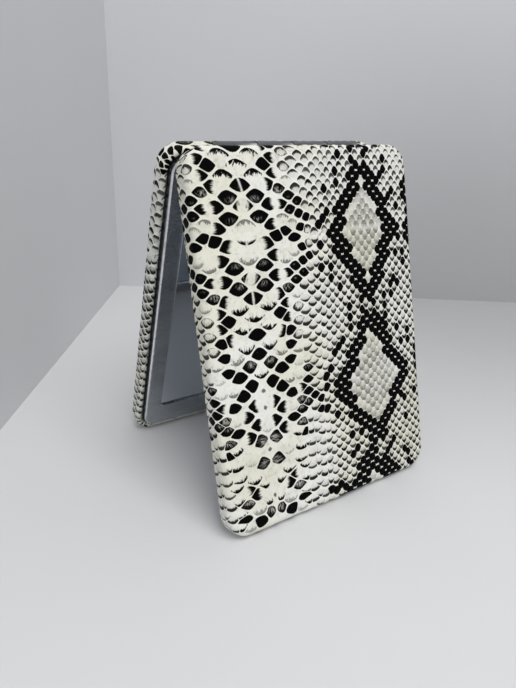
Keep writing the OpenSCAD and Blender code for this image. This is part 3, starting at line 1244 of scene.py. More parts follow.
    def small_look(self, s: float, t: float, near: float, draws: Array) -> InkLook:
        """Gives the look of a small scale, greyer and more inked to the lower right and near a rhombus.

        Args:
            s: place across.
            t: place down.
            near: distance from the nearest rhombus.
            draws: random numbers from 0 to 1.

        Returns:
            The look for this scale.
        """
        distance = abs(t - self.level)
        close = math.exp(-((near - TONES.close_at) / TONES.close_half) ** 2)
        lower = np.clip((s - TONES.lower_from) / TONES.lower_width, 0, 1)
        lower *= np.clip((t - self.level) / TONES.lower_depth, 0, 1)
        beside = self.side_shade * np.clip((abs(s) - TONES.side_from) / TONES.side_width, 0, 1)
        beside *= np.interp(t, *SIDE_BODY)
        dull = np.interp(distance, *SMALL_BODY) + (TONES.lower_body * lower + beside)
        added = TONES.close_cover * close + TONES.lower_cover * lower + TONES.side_cover * beside
        deep = np.interp(distance, *SMALL_COVER) + added
        cover = min(deep * vary(TONES.small_cover, draws[0]), TONES.small_most)
        return InkLook(
            cover=float(cover),
            streak=vary(TONES.small_streak, draws[6]),
            tone=float(vary(TONES.small_tone, draws[2])),
            body=float(dull * vary(TONES.small_body, draws[1])),
            shift=float(2 * cover + TONES.small_bend),
        )

    def scales(self, s_reach: tuple[float, float], t_reach: tuple[float, float]) -> list[Scale]:
        """Lays out all the scales of a piece of leather.

        Args:
            s_reach: lowest and highest s of the piece.
            t_reach: lowest and highest t of the piece.

        Returns:
            The scales, column by column.
        """
        columns = self.columns(max(abs(s - self.axis) for s in s_reach))
        deepest = max(abs(t - self.level) for t in t_reach)
        found: list[Scale] = []
        for index, column in enumerate(columns):
            before = columns[max(index - 1, 0)].offset
            after = columns[min(index + 1, len(columns) - 1)].offset
            gap = (after - before) / (2 if 0 < index < len(columns) - 1 else 1)
            opening = (self.lean(before) - self.lean(after)) / (after - before)
            large = float(np.interp(column.offset, *LARGENESS))
            for row, distance in enumerate(column.rows(deepest)):
                draws = self.chance(index, row).random(8)
                aside, below = NUDGES.get((index, row), (0.0, 0.0))
                off_across = (draws[3] - 0.5) * (self.wander + self.wander_across * large)
                away = column.offset + off_across * (index > 0) + aside
                if index == self.bent_column:
                    depth, middle, width = self.bend
                    away -= depth * math.exp(-((distance - middle) / width) ** 2)
                away -= self.lean(column.offset) * distance
                off_down = (draws[4] - 0.5) * (self.wander + self.wander_down * large)
                down = distance + off_down * (distance > 0)
                wide = gap * max(1.0, 1 + opening * distance)
                sides = (1.0,) if index == 0 else (-1.0, 1.0)
                ends = (1.0,) if distance == 0 else (-1.0, 1.0)
                for side, far in product(sides, ends):
                    s = self.axis + side * away
                    t = self.level + far * down + below
                    if not (s_reach[0] < s < s_reach[1] and t_reach[0] < t < t_reach[1]):
                        continue
                    own = self.chance(index, row, int(side), int(far)).random(3)
                    kind = self.kind(index, row, s, t, own[0])
                    flooded = kind is Ink.DIAMOND or (kind is Ink.FULL and index >= self.flood_from)
                    half_s, half_t = self.oval(kind, flooded, wide, column.pitch, large, draws[5])
                    turn = TURNS.get(kind, 0.0) + (own[1] - 0.5) * OVALS.sway * (not flooded)
                    found.append(Scale(
                        s, t, half_s, half_t, OVALS.power + OVALS.power_small * (1 - large),
                        self.look(kind, s, t, draws), math.radians(turn), far, side,
                        OVALS.dome + OVALS.dome_small * (1 - large), float(flooded), float(own[2]),
                    ))
        return found

    def oval(self, kind: Ink, flooded: bool, gap: float, pitch: float, large: float,
             draw: float) -> tuple[float, float]:
        """Gives the half sizes of a scale's printed oval.

        Args:
            kind: its kind of ink.
            flooded: whether the ink runs into the grooves round it.
            gap: distance between the columns there.
            pitch: distance between the rows.
            large: 1 for a large scale and 0 for a small one.
            draw: a random number from 0 to 1.

        Returns:
            The half sizes across and down.
        """
        if flooded:
            return gap * OVALS.flooded[0], pitch * OVALS.flooded[1]
        swell = 0.94 + 0.12 * draw
        half_s = gap * (OVALS.across + OVALS.across_large * large) * swell
        half_t = pitch * (OVALS.down + OVALS.down_small * (1 - large)) * (2 - swell)
        if kind is Ink.SPOT:
            return half_s * OVALS.spot[0], half_t * OVALS.spot[1]
        return half_s * (OVALS.shaded if kind is Ink.SHADE else 1), half_t

    def waist(self, flat: Array) -> Array:
        """Draws the part of the print below the level line in towards its middle line.

        Args:
            flat: s and t of the points.

        Returns:
            The points where the print has them.
        """
        away = flat[:, 0] - self.axis
        below = flat[:, 1] - self.level
        pull = np.interp(below, *WAIST)
        far = np.abs(away)
        fade = np.clip((self.fade_end - far) / self.fade_width, 0, 1)
        moved = pull * np.minimum(far / self.still_half, 1) * fade
        above = np.maximum(-below - self.top_lean_from, 0)
        lean = self.top_lean * above ** 2 * fade * math.copysign(1, -self.axis)
        return np.column_stack([flat[:, 0] - np.sign(away) * moved - lean, flat[:, 1]])

    def spread_map(self, reach: float) -> tuple[Array, Array]:
        """Gives the map from distance across to the even spacing in which the cells are found."""
        columns = self.columns(reach)
        even = [0.0]
        for first, second in zip(columns, columns[1:]):
            even.append(even[-1] + self.spread * (first.pitch + second.pitch) / 2)
        return np.array([column.offset for column in columns]), np.array(even)


@dataclass
class ScaleMesh:
    """The mesh of scales on the flat leather, with its attributes."""

    flat: Array
    height: Array
    edge: Array
    faces: list[tuple[int, ...]]
    local: Array
    ink: Array
    lay: Array


class ScaleCells:
    """Turns a layout of scales into one mesh: a cell for each scale, joined along its borders."""

    groove = 0.05
    division = 0.6
    cell_share = 0.94
    corner_power = 9
    large_from = 1.2
    large_levels = (1.0, 0.78, 0.42)
    small_levels = (1.0, 0.62)

    def __init__(self, layout: SnakePrint, scales: list[Scale], reach: float) -> None:
        """Finds the cells.

        Args:
            layout: the print.
            scales: its scales.
            reach: largest distance across from the print's middle line.
        """
        self.layout = layout
        self.scales = scales
        self.offsets, self.even = layout.spread_map(reach)
        self.flat: list[tuple[float, float]] = []
        self.edge_points: dict[tuple[int, int], list[int]] = {}
        self.rings = self.find_rings()

    def squeeze(self, s: float) -> float:
        """Gives the even place across of a point."""
        away = abs(s - self.layout.axis)
        return math.copysign(float(np.interp(away, self.offsets, self.even)), s - self.layout.axis)

    def release(self, place: float) -> float:
        """Gives the point whose even place across is known."""
        away = float(np.interp(abs(place), self.even, self.offsets))
        return self.layout.axis + math.copysign(away, place)

    def find_rings(self) -> dict[int, list[int]]:
        """Finds the corners of each cell in order round its seed."""
        seeds = [Vector((self.squeeze(scale.s), scale.t)) for scale in self.scales]
        points, _, triangles, origins, _, _ = delaunay_2d_cdt(seeds, [], [], 0, 1e-4)
        around: dict[int, list[int]] = {}
        for number, corners in enumerate(triangles):
            a, b, c = (points[corner] for corner in corners)
            self.flat.append(self.centre(a, b, c))
            for corner in corners:
                around.setdefault(corner, []).append(number)
        rings: dict[int, list[int]] = {}
        for corner, cells in around.items():
            if not origins[corner]:
                continue
            links: set[int] = set()
            for number in cells:
                links.update(triangles[number])
            if len(links) - 1 != len(cells):
                continue
            seed = points[corner]
            bearing: dict[int, float] = {}
            for number in cells:
                middle = sum((points[k] for k in triangles[number]), Vector((0, 0))) / 3
                bearing[number] = math.atan2(middle.y - seed.y, middle.x - seed.x)
            rings[origins[corner][0]] = sorted(cells, key=bearing.get)
        return rings

    def centre(self, a: Vector, b: Vector, c: Vector) -> tuple[float, float]:
        """Gives the point as far from three seeds, back on the leather."""
        double = 2 * (a.x * (b.y - c.y) + b.x * (c.y - a.y) + c.x * (a.y - b.y))
        aa, bb, cc = a.length_squared, b.length_squared, c.length_squared
        x = (aa * (b.y - c.y) + bb * (c.y - a.y) + cc * (a.y - b.y)) / double
        y = (aa * (c.x - b.x) + bb * (a.x - c.x) + cc * (b.x - a.x)) / double
        return self.release(x), y

    def border(self, ring: list[int]) -> list[int]:
        """Gives a cell's border vertices, with the points that divide its longer edges.

        Args:
            ring: the cell's corners in order.

        Returns:
            Vertex numbers, shared with the neighbouring cells.
        """
        found: list[int] = []
        for first, second in zip(ring, ring[1:] + ring[:1]):
            key = (min(first, second), max(first, second))
            if key not in self.edge_points:
                a, b = self.flat[key[0]], self.flat[key[1]]
                parts = max(1, round(math.dist(a, b) / self.division))
                made = []
                for step in range(1, parts):
                    share = step / parts
                    self.flat.append((a[0] + (b[0] - a[0]) * share, a[1] + (b[1] - a[1]) * share))
                    made.append(len(self.flat) - 1)
                self.edge_points[key] = made
            between = self.edge_points[key]
            found.append(first)
            found.extend(between if key[0] == first else reversed(between))
        return found

    def build(self) -> ScaleMesh:
        """Builds the mesh.

        Returns:
            The mesh of scales, with s and t as its flat coordinates.
        """
        borders = {number: self.border(ring) for number, ring in self.rings.items()}
        base = np.array(self.flat)
        count = len(base)
        flat, height, edge = [base], [np.full(count, -self.groove)], [np.zeros(count)]
        faces: list[tuple[int, ...]] = []
        local: list[Array] = []
        ink: list[Array] = []
        lay: list[Array] = []
        for number, border in borders.items():
            scale, size = self.scales[number], len(border)
            seed = np.array((scale.s, scale.t))
            rel = base[border] - seed
            radius = np.hypot(rel[:, 0], rel[:, 1])
            way = rel / radius[:, None]
            oval = (np.abs(way[:, 0] / scale.half_s) ** scale.power
                    + np.abs(way[:, 1] / scale.half_t) ** scale.power) ** (-1 / scale.power)
            limit = radius * self.cell_share
            first = (oval ** -self.corner_power + limit ** -self.corner_power) ** (-1 / self.corner_power)
            levels = self.large_levels if scale.half_s > self.large_from else self.small_levels
            rows, marks = [border], [self.marks(scale, rel)]
            for level in levels:
                rows.append(range(count, count + size))
                count += size
                inner = way * (first * level)[:, None]
                marks.append(self.marks(scale, inner))
                flat.append(seed + inner)
                height.append(np.full(size, scale.dome * (1 - level ** 2)))
                edge.append(np.full(size, 1.0 + (1 - level)))
            flat.append(seed[None, :])
            height.append(np.array([scale.dome]))
            edge.append(np.array([2.0]))
            turns = [(i, (i + 1) % size) for i in range(size)]
            for low, high, low_marks, high_marks in zip(rows, rows[1:], marks, marks[1:]):
                for i, j in turns:
                    faces.append((low[j], low[i], high[i], high[j]))
                    local.extend((low_marks[j], low_marks[i], high_marks[i], high_marks[j]))
            for i, j in turns:
                faces.append((rows[-1][j], rows[-1][i], count))
                local.extend((marks[-1][j], marks[-1][i], (0, 0, scale.spill)))
            count += 1
            corners = size * (4 * len(levels) + 3)
            look = scale.look
            ink.append(np.tile((look.cover, look.streak, look.tone, look.body), (corners, 1)))
            lay.append(np.tile((look.line, look.ends, look.shift, scale.seed), (corners, 1)))
        return ScaleMesh(np.concatenate(flat), np.concatenate(height), np.concatenate(edge), faces,
                         np.array(local), np.concatenate(ink), np.concatenate(lay))

    def marks(self, scale: Scale, rel: Array) -> Array:
        """Gives places in a scale's own turned frame, 1 at the end of its oval, with its spill."""
        across = rel[:, 0] / scale.half_s * scale.side
        along = rel[:, 1] / scale.half_t * scale.far
        cos, sin = math.cos(scale.turn), math.sin(scale.turn)
        spill = np.full(len(rel), scale.spill)
        return np.column_stack([across * cos - along * sin, across * sin + along * cos, spill])


@dataclass(frozen=True)
class CoverForm:
    """The surface that the leather is wrapped round: padded face, rounded side, hem, lip and seam."""

    sizes: Sizes
    seam_depth: float = 0.8
    sway_fade: float = 3.0

    @property
    def marks(self) -> tuple[float, ...]:
        """Distances along the leather from the middle of a corner to each change of the profile."""
        z = self.sizes
        flat = z.corner_r - z.face_r
        turned = flat + z.face_r * math.pi / 2
        wall = turned + (z.face_w - z.face_r) - (z.hem_w + z.hem_r)
        hem = wall + z.hem_r * math.pi / 2
        shelf = hem + z.mouth_inset - z.hem_r - z.lip_r
        lip = shelf + z.lip_r * math.pi / 2
        return flat, turned, wall, hem, shelf, lip, lip + self.seam_depth

    def reach(self) -> float:
        """How far the leather reaches beyond the cover's outline when it lies flat."""
        return self.marks[-1] - self.sizes.corner_r + self.sizes.free_step

    def wrap(self, flat: Array, height: Array) -> tuple[Array, Array]:
        """Wraps flat leather round the cover.

        Args:
            flat: x and v of the points.
            height: height of the relief at each point.

        Returns:
            The points in three dimensions, and whether each lies past the leather's end.
        """
        z = self.sizes
        half = z.cover_w / 2 - z.corner_r
        core = np.column_stack([np.clip(flat[:, 0], -half, half),
                                np.clip(flat[:, 1], z.cover_start + z.corner_r, z.cover_end - z.corner_r)])
        away = flat - core
        rho = np.hypot(away[:, 0], away[:, 1])
        way = away / np.maximum(rho, 1e-9)[:, None]
        face, turned, wall, hem, shelf, lip, end = self.marks
        step = z.free_step * np.clip(way[:, 1], 0, 1) ** 2
        past = rho > end + step
        rho = np.minimum(rho, end + step)
        tail = np.maximum(rho - hem, 0)
        slid = np.minimum(tail, step)
        run = np.where(rho > hem, hem + np.maximum(tail - step, 0), rho)
        face_turn = np.clip((run - face) / z.face_r, 0, math.pi / 2)
        hem_turn = np.clip((run - wall) / z.hem_r, 0, math.pi / 2)
        lip_turn = np.clip((run - shelf) / z.lip_r, 0, math.pi / 2)
        down = np.clip(run, turned, wall) - turned
        inward = np.clip(run, hem, shelf) - hem + slid
        rise = np.clip(run, lip, end) - lip
        out = (np.minimum(run, face) + z.face_r * np.sin(face_turn) - z.hem_r * (1 - np.cos(hem_turn))
               - inward - z.lip_r * np.sin(lip_turn))
        w = (z.face_w - z.face_r * (1 - np.cos(face_turn)) - down - z.hem_r * np.sin(hem_turn)
             + z.lip_r * (1 - np.cos(lip_turn)) + rise)
        turn = face_turn + hem_turn + lip_turn
        sideways, upward = np.sin(turn), np.cos(turn)
        height = height + self.sway(flat) * np.clip((wall - rho) / self.sway_fade, 0, 1)
        points = np.column_stack([core + way * (out + sideways * height)[:, None], w + upward * height])
        return points, past

    def sway(self, flat: Array) -> Array:
        """Gives the slight unevenness of leather over foam, in millimetres."""
        x, v = flat[:, 0], flat[:, 1]
        return (0.030 * np.sin(x * 0.31 + 1.3) * np.sin(v * 0.23 + 0.4)
                + 0.016 * np.sin(x * 0.83 + v * 0.37 + 2.0) + 0.012 * np.sin(v * 0.91 - x * 0.22))


# The pieces


REAR_PRINT = SnakePrint(
    axis=18.75,
    level=26.0,
    rhombi=(
        Rhombus(-14.9, -9.4),
        Rhombus(-14.9, 25.8),
        Rhombus(-14.8, 62.8, 9.9, 16.9),
        Rhombus(-12.6, 98.6, 11.5, 17.2),
        Rhombus(-39.6, 26.0),
        Rhombus(34.0, -13.5),
    ),
    crossing=-14.9,
    motif_reach=3,
    side_shade=0.32,
    seed=23,
)


@dataclass
class HalfPiece:
    """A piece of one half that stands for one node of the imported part."""

    half: Half
    sizes: Sizes = field(default_factory=Sizes)

    label: ClassVar[str]
    part: ClassVar[str]
    slot: ClassVar[str]

    def make(self, points: Array, faces: Sequence[Sequence[int]], finishes: Sequence[Finish],
             slots: Optional[Sequence[int]] = None) -> bpy.types.Object:
        """Makes the piece in its place from flat points in millimetres.

        Args:
            points: its vertices, one row each.
            faces: its faces as tuples of vertex numbers.
            finishes: its finishes in slot order.
            slots: the finish of each face, all the first where it isn't given.

        Returns:
            The new object.
        """
        return make_piece(f"{self.half.value}_{self.label}", points, faces, stand(self.half, self.sizes),
                          [finish.material() for finish in finishes], slots)

    def settle(self, piece: bpy.types.Object) -> None:
        """Says what the piece stands for, and on which body."""
        settle(piece, self.half.node(self.part), self.half.body)


@dataclass
class LeatherCover(HalfPiece):
    """The printed leather of one half, wrapped round its pad and turned in at the seam."""

    label = "leather_skin"
    part = "leather_cover"
    slot = "printed_leather"
    fill: float = 0.9
    waste: float = 7.0
    beyond: float = 5.0
    arc: int = 8
    seam_clear: float = 0.02

    @property
    def layout(self) -> SnakePrint:
        """The cut of the print that the half is wrapped in."""
        return SnakePrint() if self.half is Half.FRONT else REAR_PRINT

    def build(self) -> bpy.types.Object:
        """Builds the leather.

        Returns:
            The finished piece.
        """
        form = CoverForm(self.sizes)
        reach = form.reach() + self.waste
        half_w = self.sizes.cover_w / 2
        s_reach = (-half_w - reach, half_w + reach)
        t_reach = (self.sizes.cover_start - reach, self.sizes.cover_end + reach)
        scales = self.layout.scales(s_reach, t_reach)
        farthest = max(abs(s - self.layout.axis) for s in s_reach) + self.beyond
        cells = ScaleCells(self.layout, scales, farthest).build()
        flat = self.layout.waist(cells.flat) * np.array((-1.0, 1.0))
        points, past = form.wrap(flat, cells.height)
        keep = [not all(past[k] for k in face) for face in cells.faces]
        faces = [face for face, kept in zip(cells.faces, keep) if kept]
        corner_keep = np.repeat(keep, [len(face) for face in cells.faces])
        used = np.unique(np.concatenate([np.array(face) for face in faces]))
        renumber = np.full(len(points), -1)
        renumber[used] = np.arange(len(used))
        faces = [tuple(int(renumber[k]) for k in face) for face in faces]
        lining = self.lining()
        slots = [0] * len(faces) + [1] * len(lining.faces)
        faces.extend(tuple(k + len(used) for k in face) for face in lining.faces)
        piece = self.make(np.concatenate([points[used], lining.array()]), faces, [PRINT, BACKING], slots)
        spare = sum(len(face) for face in lining.faces)
        self.write(piece.data, "scale_edge", "FLOAT", "POINT", cells.edge[used], lining.count)
        self.write(piece.data, "scale_local", "FLOAT_VECTOR", "CORNER", cells.local[corner_keep], spare)
        self.write(piece.data, "scale_ink", "FLOAT_COLOR", "CORNER", cells.ink[corner_keep], spare)
        self.write(piece.data, "scale_lay", "FLOAT_COLOR", "CORNER", cells.lay[corner_keep], spare)
        self.settle(piece)
        LOG.info("%s: %d scales", piece.name, len(scales))
        return piece

    def write(self, mesh: bpy.types.Mesh, name: str, kind: str, domain: str, values: Array,
              spare: int) -> None:
        """Stores an attribute on the mesh, with zeros for the lining.

        Args:
            mesh: the leather's mesh.
            name: the attribute's name.
            kind: its data type.
            domain: where it lives.
            values: its values for the printed face.
            spare: how many elements the lining has.
        """
        zeros = np.zeros((spare, *values.shape[1:]))
        whole = np.concatenate([values, zeros]).reshape(-1).astype(np.float32)
        attribute = mesh.attributes.new(name, kind, domain)
        key = {"FLOAT": "value", "FLOAT_VECTOR": "vector", "FLOAT_COLOR": "color"}[kind]
        attribute.data.foreach_set(key, whole)

    def lining(self) -> Loops:
        """Draws the inner face of the leather, from the seam to under the padded face."""
        z = self.sizes
        outer = Outline(z.cover_w / 2, z.cover_start, z.cover_end, z.corner_r)
        seam = z.frame_inset - z.mouth_inset
        clear = self.seam_clear
        mouth = Outline(z.cover_w / 2 - z.mouth_inset - clear, z.frame_start - seam + clear,
                        z.frame_end + seam - clear, z.corner_r - z.mouth_inset)
        inner = z.face_w - z.skin_t
        round_r = z.face_r - z.skin_t
        places = [(mouth, z.hem_w + z.lip_r), (mouth, z.hem_w + z.skin_t),
                  (outer.inset(z.skin_t), z.hem_w + z.skin_t), (outer.inset(z.skin_t), inner - round_r)]
        for depth, short in rounding((0.33, 0.66, 1.0)):
            places.append((outer.inset(z.skin_t + round_r * depth), inner - round_r * short))
        loops = Loops()
        rows = [loops.row(outline.points(self.arc), height) for outline, height in places]
        loops.chain(rows)
        loops.cap(rows[-1], flip=True)
        return loops


@dataclass
class FoamSheet(HalfPiece):
    """The soft foam under the leather of one half."""

    label = "foam_sheet"
    part = "foam_pad"
    slot = "foam"
    crush: float = 0.04
    round_r: float = 0.7
    low_cut: float = 0.15
    skin_clear: float = 0.02
    arc: int = 10
    crease: float = 50

    def build(self) -> bpy.types.Object:
        """Builds the foam.

        Returns:
            The finished piece.
        """
        z = self.sizes
        outer = Outline(z.cover_w / 2, z.cover_start, z.cover_end, z.corner_r).inset(z.shell_inset)
        high = z.face_w - z.skin_t - self.skin_clear
        places = [(outer.inset(self.low_cut), z.foam_w), (outer, z.foam_w + self.low_cut)]
        for depth, short in rounding((0, 0.25, 0.5, 0.75, 1)):
            places.append((outer.inset(self.round_r * depth), high - self.round_r * short))
        for depth in (3.0, 8.0, 16.0, 25.0):
            places.append((outer.inset(depth), high - self.crush * min(depth / 8, 1)))
        loops = Loops()
        rows = [loops.row(outline.points(self.arc), height) for outline, height in places]
        loops.chain(rows[::-1])
        loops.cap(rows[-1])
        loops.cap(rows[0], flip=True)
        piece = self.make(loops.array(), loops.faces, [FOAM])
        sharpen(piece, self.crease)
        self.settle(piece)
        return piece


@dataclass
class BezelFrame(HalfPiece):
    """The plated frame round the mirror of one half."""

    label = "bezel"
    part = "frame"
    slot = "frame_metal"
    edge_r: float = 0.55
    ledge_from: float = 0.5
    ledge_to: float = 1.6
    window_margin: float = 1.0
    window_bevel: float = 0.16
    window_round: float = 0.05
    slot_half: float = 20.35
    slot_edge: float = 0.01
    flange_depth: float = 2.0
    arc: int = 12
    crease: float = 32

    def build(self) -> bpy.types.Object:
        """Builds the frame.

        Returns:
            The finished piece.
        """
        z = self.sizes
        edge, side = self.slot_half, self.slot_edge
        notches = (-edge - side, -edge + side, -edge / 2, 0.0, edge / 2, edge - side, edge + side)
        outer = Outline(z.cover_w / 2 - z.frame_inset, z.frame_start, z.frame_end, z.corner_r - z.frame_inset)
        window = Outline(z.window_half, z.window_start, z.window_end, z.window_r)
        loops = Loops()
        rim: list[float] = []
        rows: list[list[int]] = []

        def add(outline: Outline, height: float, bright: float, flange: bool = False) -> None:
            """Adds a row, with the flange cut away for the leaf."""
            flat = outline.points(self.arc, notches)
            w = np.full(len(flat), height)
            if flange:
                cut = (np.abs(flat[:, 0]) < edge) & (flat[:, 1] < z.frame_start + self.flange_depth)
                w[cut] = z.frame_low + z.frame_t
            rows.append(loops.row(flat, w))
            rim.extend([bright] * len(flat))

        # The last number of each row is how far it is painted brighter: worn plating along the edges, and a
        # painted highlight on the outer rounding and the window's bevel
        add(outer, z.frame_high, 0.2, True)
        add(outer, z.frame_low + z.frame_t, 0.0)
        add(outer, z.frame_low + self.edge_r, 0.4)
        for depth, short in rounding((0.2, 0.4, 0.6, 0.8, 1)):
            bright = 0.9 if depth < 0.5 else 0.5
            add(outer.inset(self.edge_r * depth), z.frame_low + self.edge_r * short, bright)
        add(outer.inset(self.edge_r + self.ledge_from), z.frame_low, 0.0)
        add(outer.inset(self.ledge_to), z.frame_low, 0.0)
        add(window.inset(-self.window_margin), z.frame_low, 0.0)
        add(window.inset(-self.window_bevel - 0.06), z.frame_low, 0.3)
        add(window.inset(-self.window_bevel * 0.45), z.frame_low + self.window_round, 1.0)
        add(window, z.frame_low + self.window_bevel + self.window_round, 0.7)
        add(window, z.frame_low + z.frame_t, 0.1)
        add(outer.inset(z.frame_t), z.frame_low + z.frame_t, 0.0)
        add(outer.inset(z.frame_t), z.frame_high, 0.2, True)
        loops.chain(rows)
        loops.band(rows[0], rows[-1])
        piece = self.make(loops.array(), loops.faces, [FRAME_METAL])
        sharpen(piece, self.crease)
        mark_rim(piece, rim)
        self.settle(piece)
        return piece


@dataclass
class MirrorGlass(HalfPiece):
    """The silvered glass of one half, with a ground bevel round its face."""

    label = "mirror_glass"
    part = "mirror"
    slot = "mirror_glass"
    bevel_w: float = 0.35
    bevel_t: float = 0.12
    back_bevel: float = 0.1
    arc: int = 10
    crease: float = 5

    def build(self) -> bpy.types.Object:
        """Builds the glass.

        Returns:
            The finished piece.
        """
        z = self.sizes
        outer = Outline(z.cover_w / 2 - z.glass_inset, z.glass_start, z.glass_end, z.corner_r - z.glass_inset)
        loops = Loops()
        face = loops.row(outer.inset(self.bevel_w).points(self.arc), z.glass_low)
        rim = loops.row(outer.points(self.arc), z.glass_low + self.bevel_t)
        foot = loops.row(outer.points(self.arc), z.glass_high - self.back_bevel)
        back = loops.row(outer.inset(self.back_bevel).points(self.arc), z.glass_high)
        loops.cap(face, 0, flip=True)
        loops.band(face, rim, 0)
        loops.band(rim, foot, 1)
        loops.band(foot, back, 1)
        loops.cap(back, 2)
        piece = self.make(loops.array(), loops.faces, [SILVER, GLASS_EDGE, GLASS_BACK], loops.slots)
        sharpen(piece, self.crease)
        self.settle(piece)
        return piece


@dataclass
class HingeLeaf(HalfPiece):
    """One leaf of the hinge: rolled knuckles, tabs over the hem and a plate cranked under the mirror."""

    label = "leaf"
    part = "hinge_leaf"
    slot = "hinge_steel"
    roll_end: float = 388.0
    roll_points: int = 46
    bore_clear: float = 0.01
    tab_overlap: float = 0.1
    bend_r: float = 0.3
    bend_cut: float = 0.09
    edge_round: float = 0.06
    crease: float = 40
    brightness: float = 0.25

    def sweep(self, loops: Loops, profile: Array, start: float, end: float) -> None:
        """Adds a solid that is one profile in v and w, drawn along x.

        Args:
            loops: where the faces go.
            profile: v and w of the profile's points in order.
            start: lowest x.
            end: highest x.
        """
        near, far = (loops.ring(np.column_stack([np.full(len(profile), x), profile])) for x in (start, end))
        loops.band(near, far)
        loops.cap(near)
        loops.cap(far, flip=True)

    def knuckle_profile(self) -> Array:
        """Gives the rolled end of the sheet, from its tab round the pin and back."""
        z = self.sizes
        turns = np.radians(np.linspace(90, self.roll_end, self.roll_points))
        bore = z.bore_r + self.bore_clear
        inner = np.column_stack([np.cos(turns) * bore, np.sin(turns) * bore])
        outer = np.column_stack([np.cos(turns[::-1]) * z.barrel_r, np.sin(turns[::-1]) * z.barrel_r])
        tab = z.crank_v + self.tab_overlap
        return np.concatenate([[(tab, bore)], inner, outer, [(tab, z.barrel_r)]])

    def plate_profile(self) -> Array:
        """Gives the sheet from the tabs over the hem, down its crank and along the plate."""
        z = self.sizes
        high = z.leaf_low + z.leaf_t
        far = z.crank_v + z.leaf_t
        cut = self.bend_cut
        return np.array([
            (z.tab_v, z.leaf_low), (far - self.bend_r, z.leaf_low), (far - cut, z.leaf_low + cut),
            (far, z.leaf_low + self.bend_r), (far, z.plate_high - z.leaf_t),
            (z.leaf_end, z.plate_high - z.leaf_t), (z.leaf_end, z.plate_high),
            (z.crank_v + self.bend_r, z.plate_high), (z.crank_v + cut, z.plate_high - cut),
            (z.crank_v, z.plate_high - self.bend_r), (z.crank_v, high), (z.tab_v, high),
        ])

    def build(self) -> bpy.types.Object:
        """Builds the leaf.

        Returns:
            The finished piece.
        """
        z = self.sizes
        loops = Loops()
        for number in range(0, z.knuckles, 2):
            start = -z.hinge_len / 2 + number * z.step + z.knuckle_gap / 2
            self.sweep(loops, self.knuckle_profile(), start, start + z.step - z.knuckle_gap)
        self.sweep(loops, self.plate_profile(), -z.hinge_len / 2, z.hinge_len / 2)
        piece = self.make(loops.array(), loops.faces, [HINGE_METAL])
        bevel(piece, self.edge_round)
        sharpen(piece, self.crease)
        mark_rim(piece, [self.brightness] * len(piece.data.vertices))
        self.settle(piece)
        return piece


@dataclass
class HingePin:
    """The pin through the knuckles, with a small dome at each end."""

    sizes: Sizes = field(default_factory=Sizes)
    sides: int = 40
    dome: float = 0.22
    crease: float = 60

    def build(self) -> bpy.types.Object:
        """Builds the pin.

        Returns:
            The finished piece.
        """
        half = self.sizes.hinge_len / 2
        stations = [(-half, 0.25), (-half + self.dome * 0.35, 0.7), (-half + self.dome, 1.0)]
        stations += [(-x, share) for x, share in reversed(stations)]
        turns = np.linspace(0, 2 * math.pi, self.sides, endpoint=False)
        loops = Loops()
        rows = []
        rim = []
        for x, share in stations:
            radius = self.sizes.pin_r * share
            rows.append(loops.ring(np.column_stack([np.full(self.sides, x), np.cos(turns) * radius,
                                                    np.sin(turns) * radius])))
            rim.extend([0.8 if share < 1 else 0.3] * self.sides)
        loops.chain(rows)
        loops.cap(rows[0], flip=True)
        loops.cap(rows[-1])
        place = Matrix.Scale(MM, 4) @ Matrix.Translation((0, 0, hinge_height()))
        piece = make_piece("pin", loops.array(), loops.faces, place, [PIN_METAL.material()])
        sharpen(piece, self.crease)
        mark_rim(piece, rim)
        settle(piece, "hinge_pin", "front_half")
        return piece


@dataclass
class HiddenParts:
    """The rigid parts inside one half, which keep their CAD shape and get their real finishes."""

    half: Half

    def dress(self) -> None:
        """Puts a finish on each of the half's hidden parts."""
        finishes: dict[str, Finish] = {
            "shell": SHELL_METAL,
            "backing_board": CARD,
            "mirror_tape": ADHESIVE,
            "leaf_rivets": RIVET_METAL,
            "magnet_left": MAGNET_METAL,
            "magnet_right": MAGNET_METAL,
        }
        for part, finish in finishes.items():
            piece = frame["nodes"][self.half.node(part)]
            piece.data.materials.clear()
            piece.data.materials.append(finish.material())
            LOG.info("%s: dressed in %s", piece.name, finish.name)


@dataclass
class CompactHalf:
    """All the pieces of one half."""

    half: Half
    sizes: Sizes = field(default_factory=Sizes)

    def build(self) -> list[bpy.types.Object]:
        """Builds the half.

        Returns:
            Its new pieces.
        """
        HiddenParts(self.half).dress()
        kinds = (LeatherCover, FoamSheet, BezelFrame, MirrorGlass, HingeLeaf)
        return [kind(self.half, self.sizes).build() for kind in kinds]


# The studio


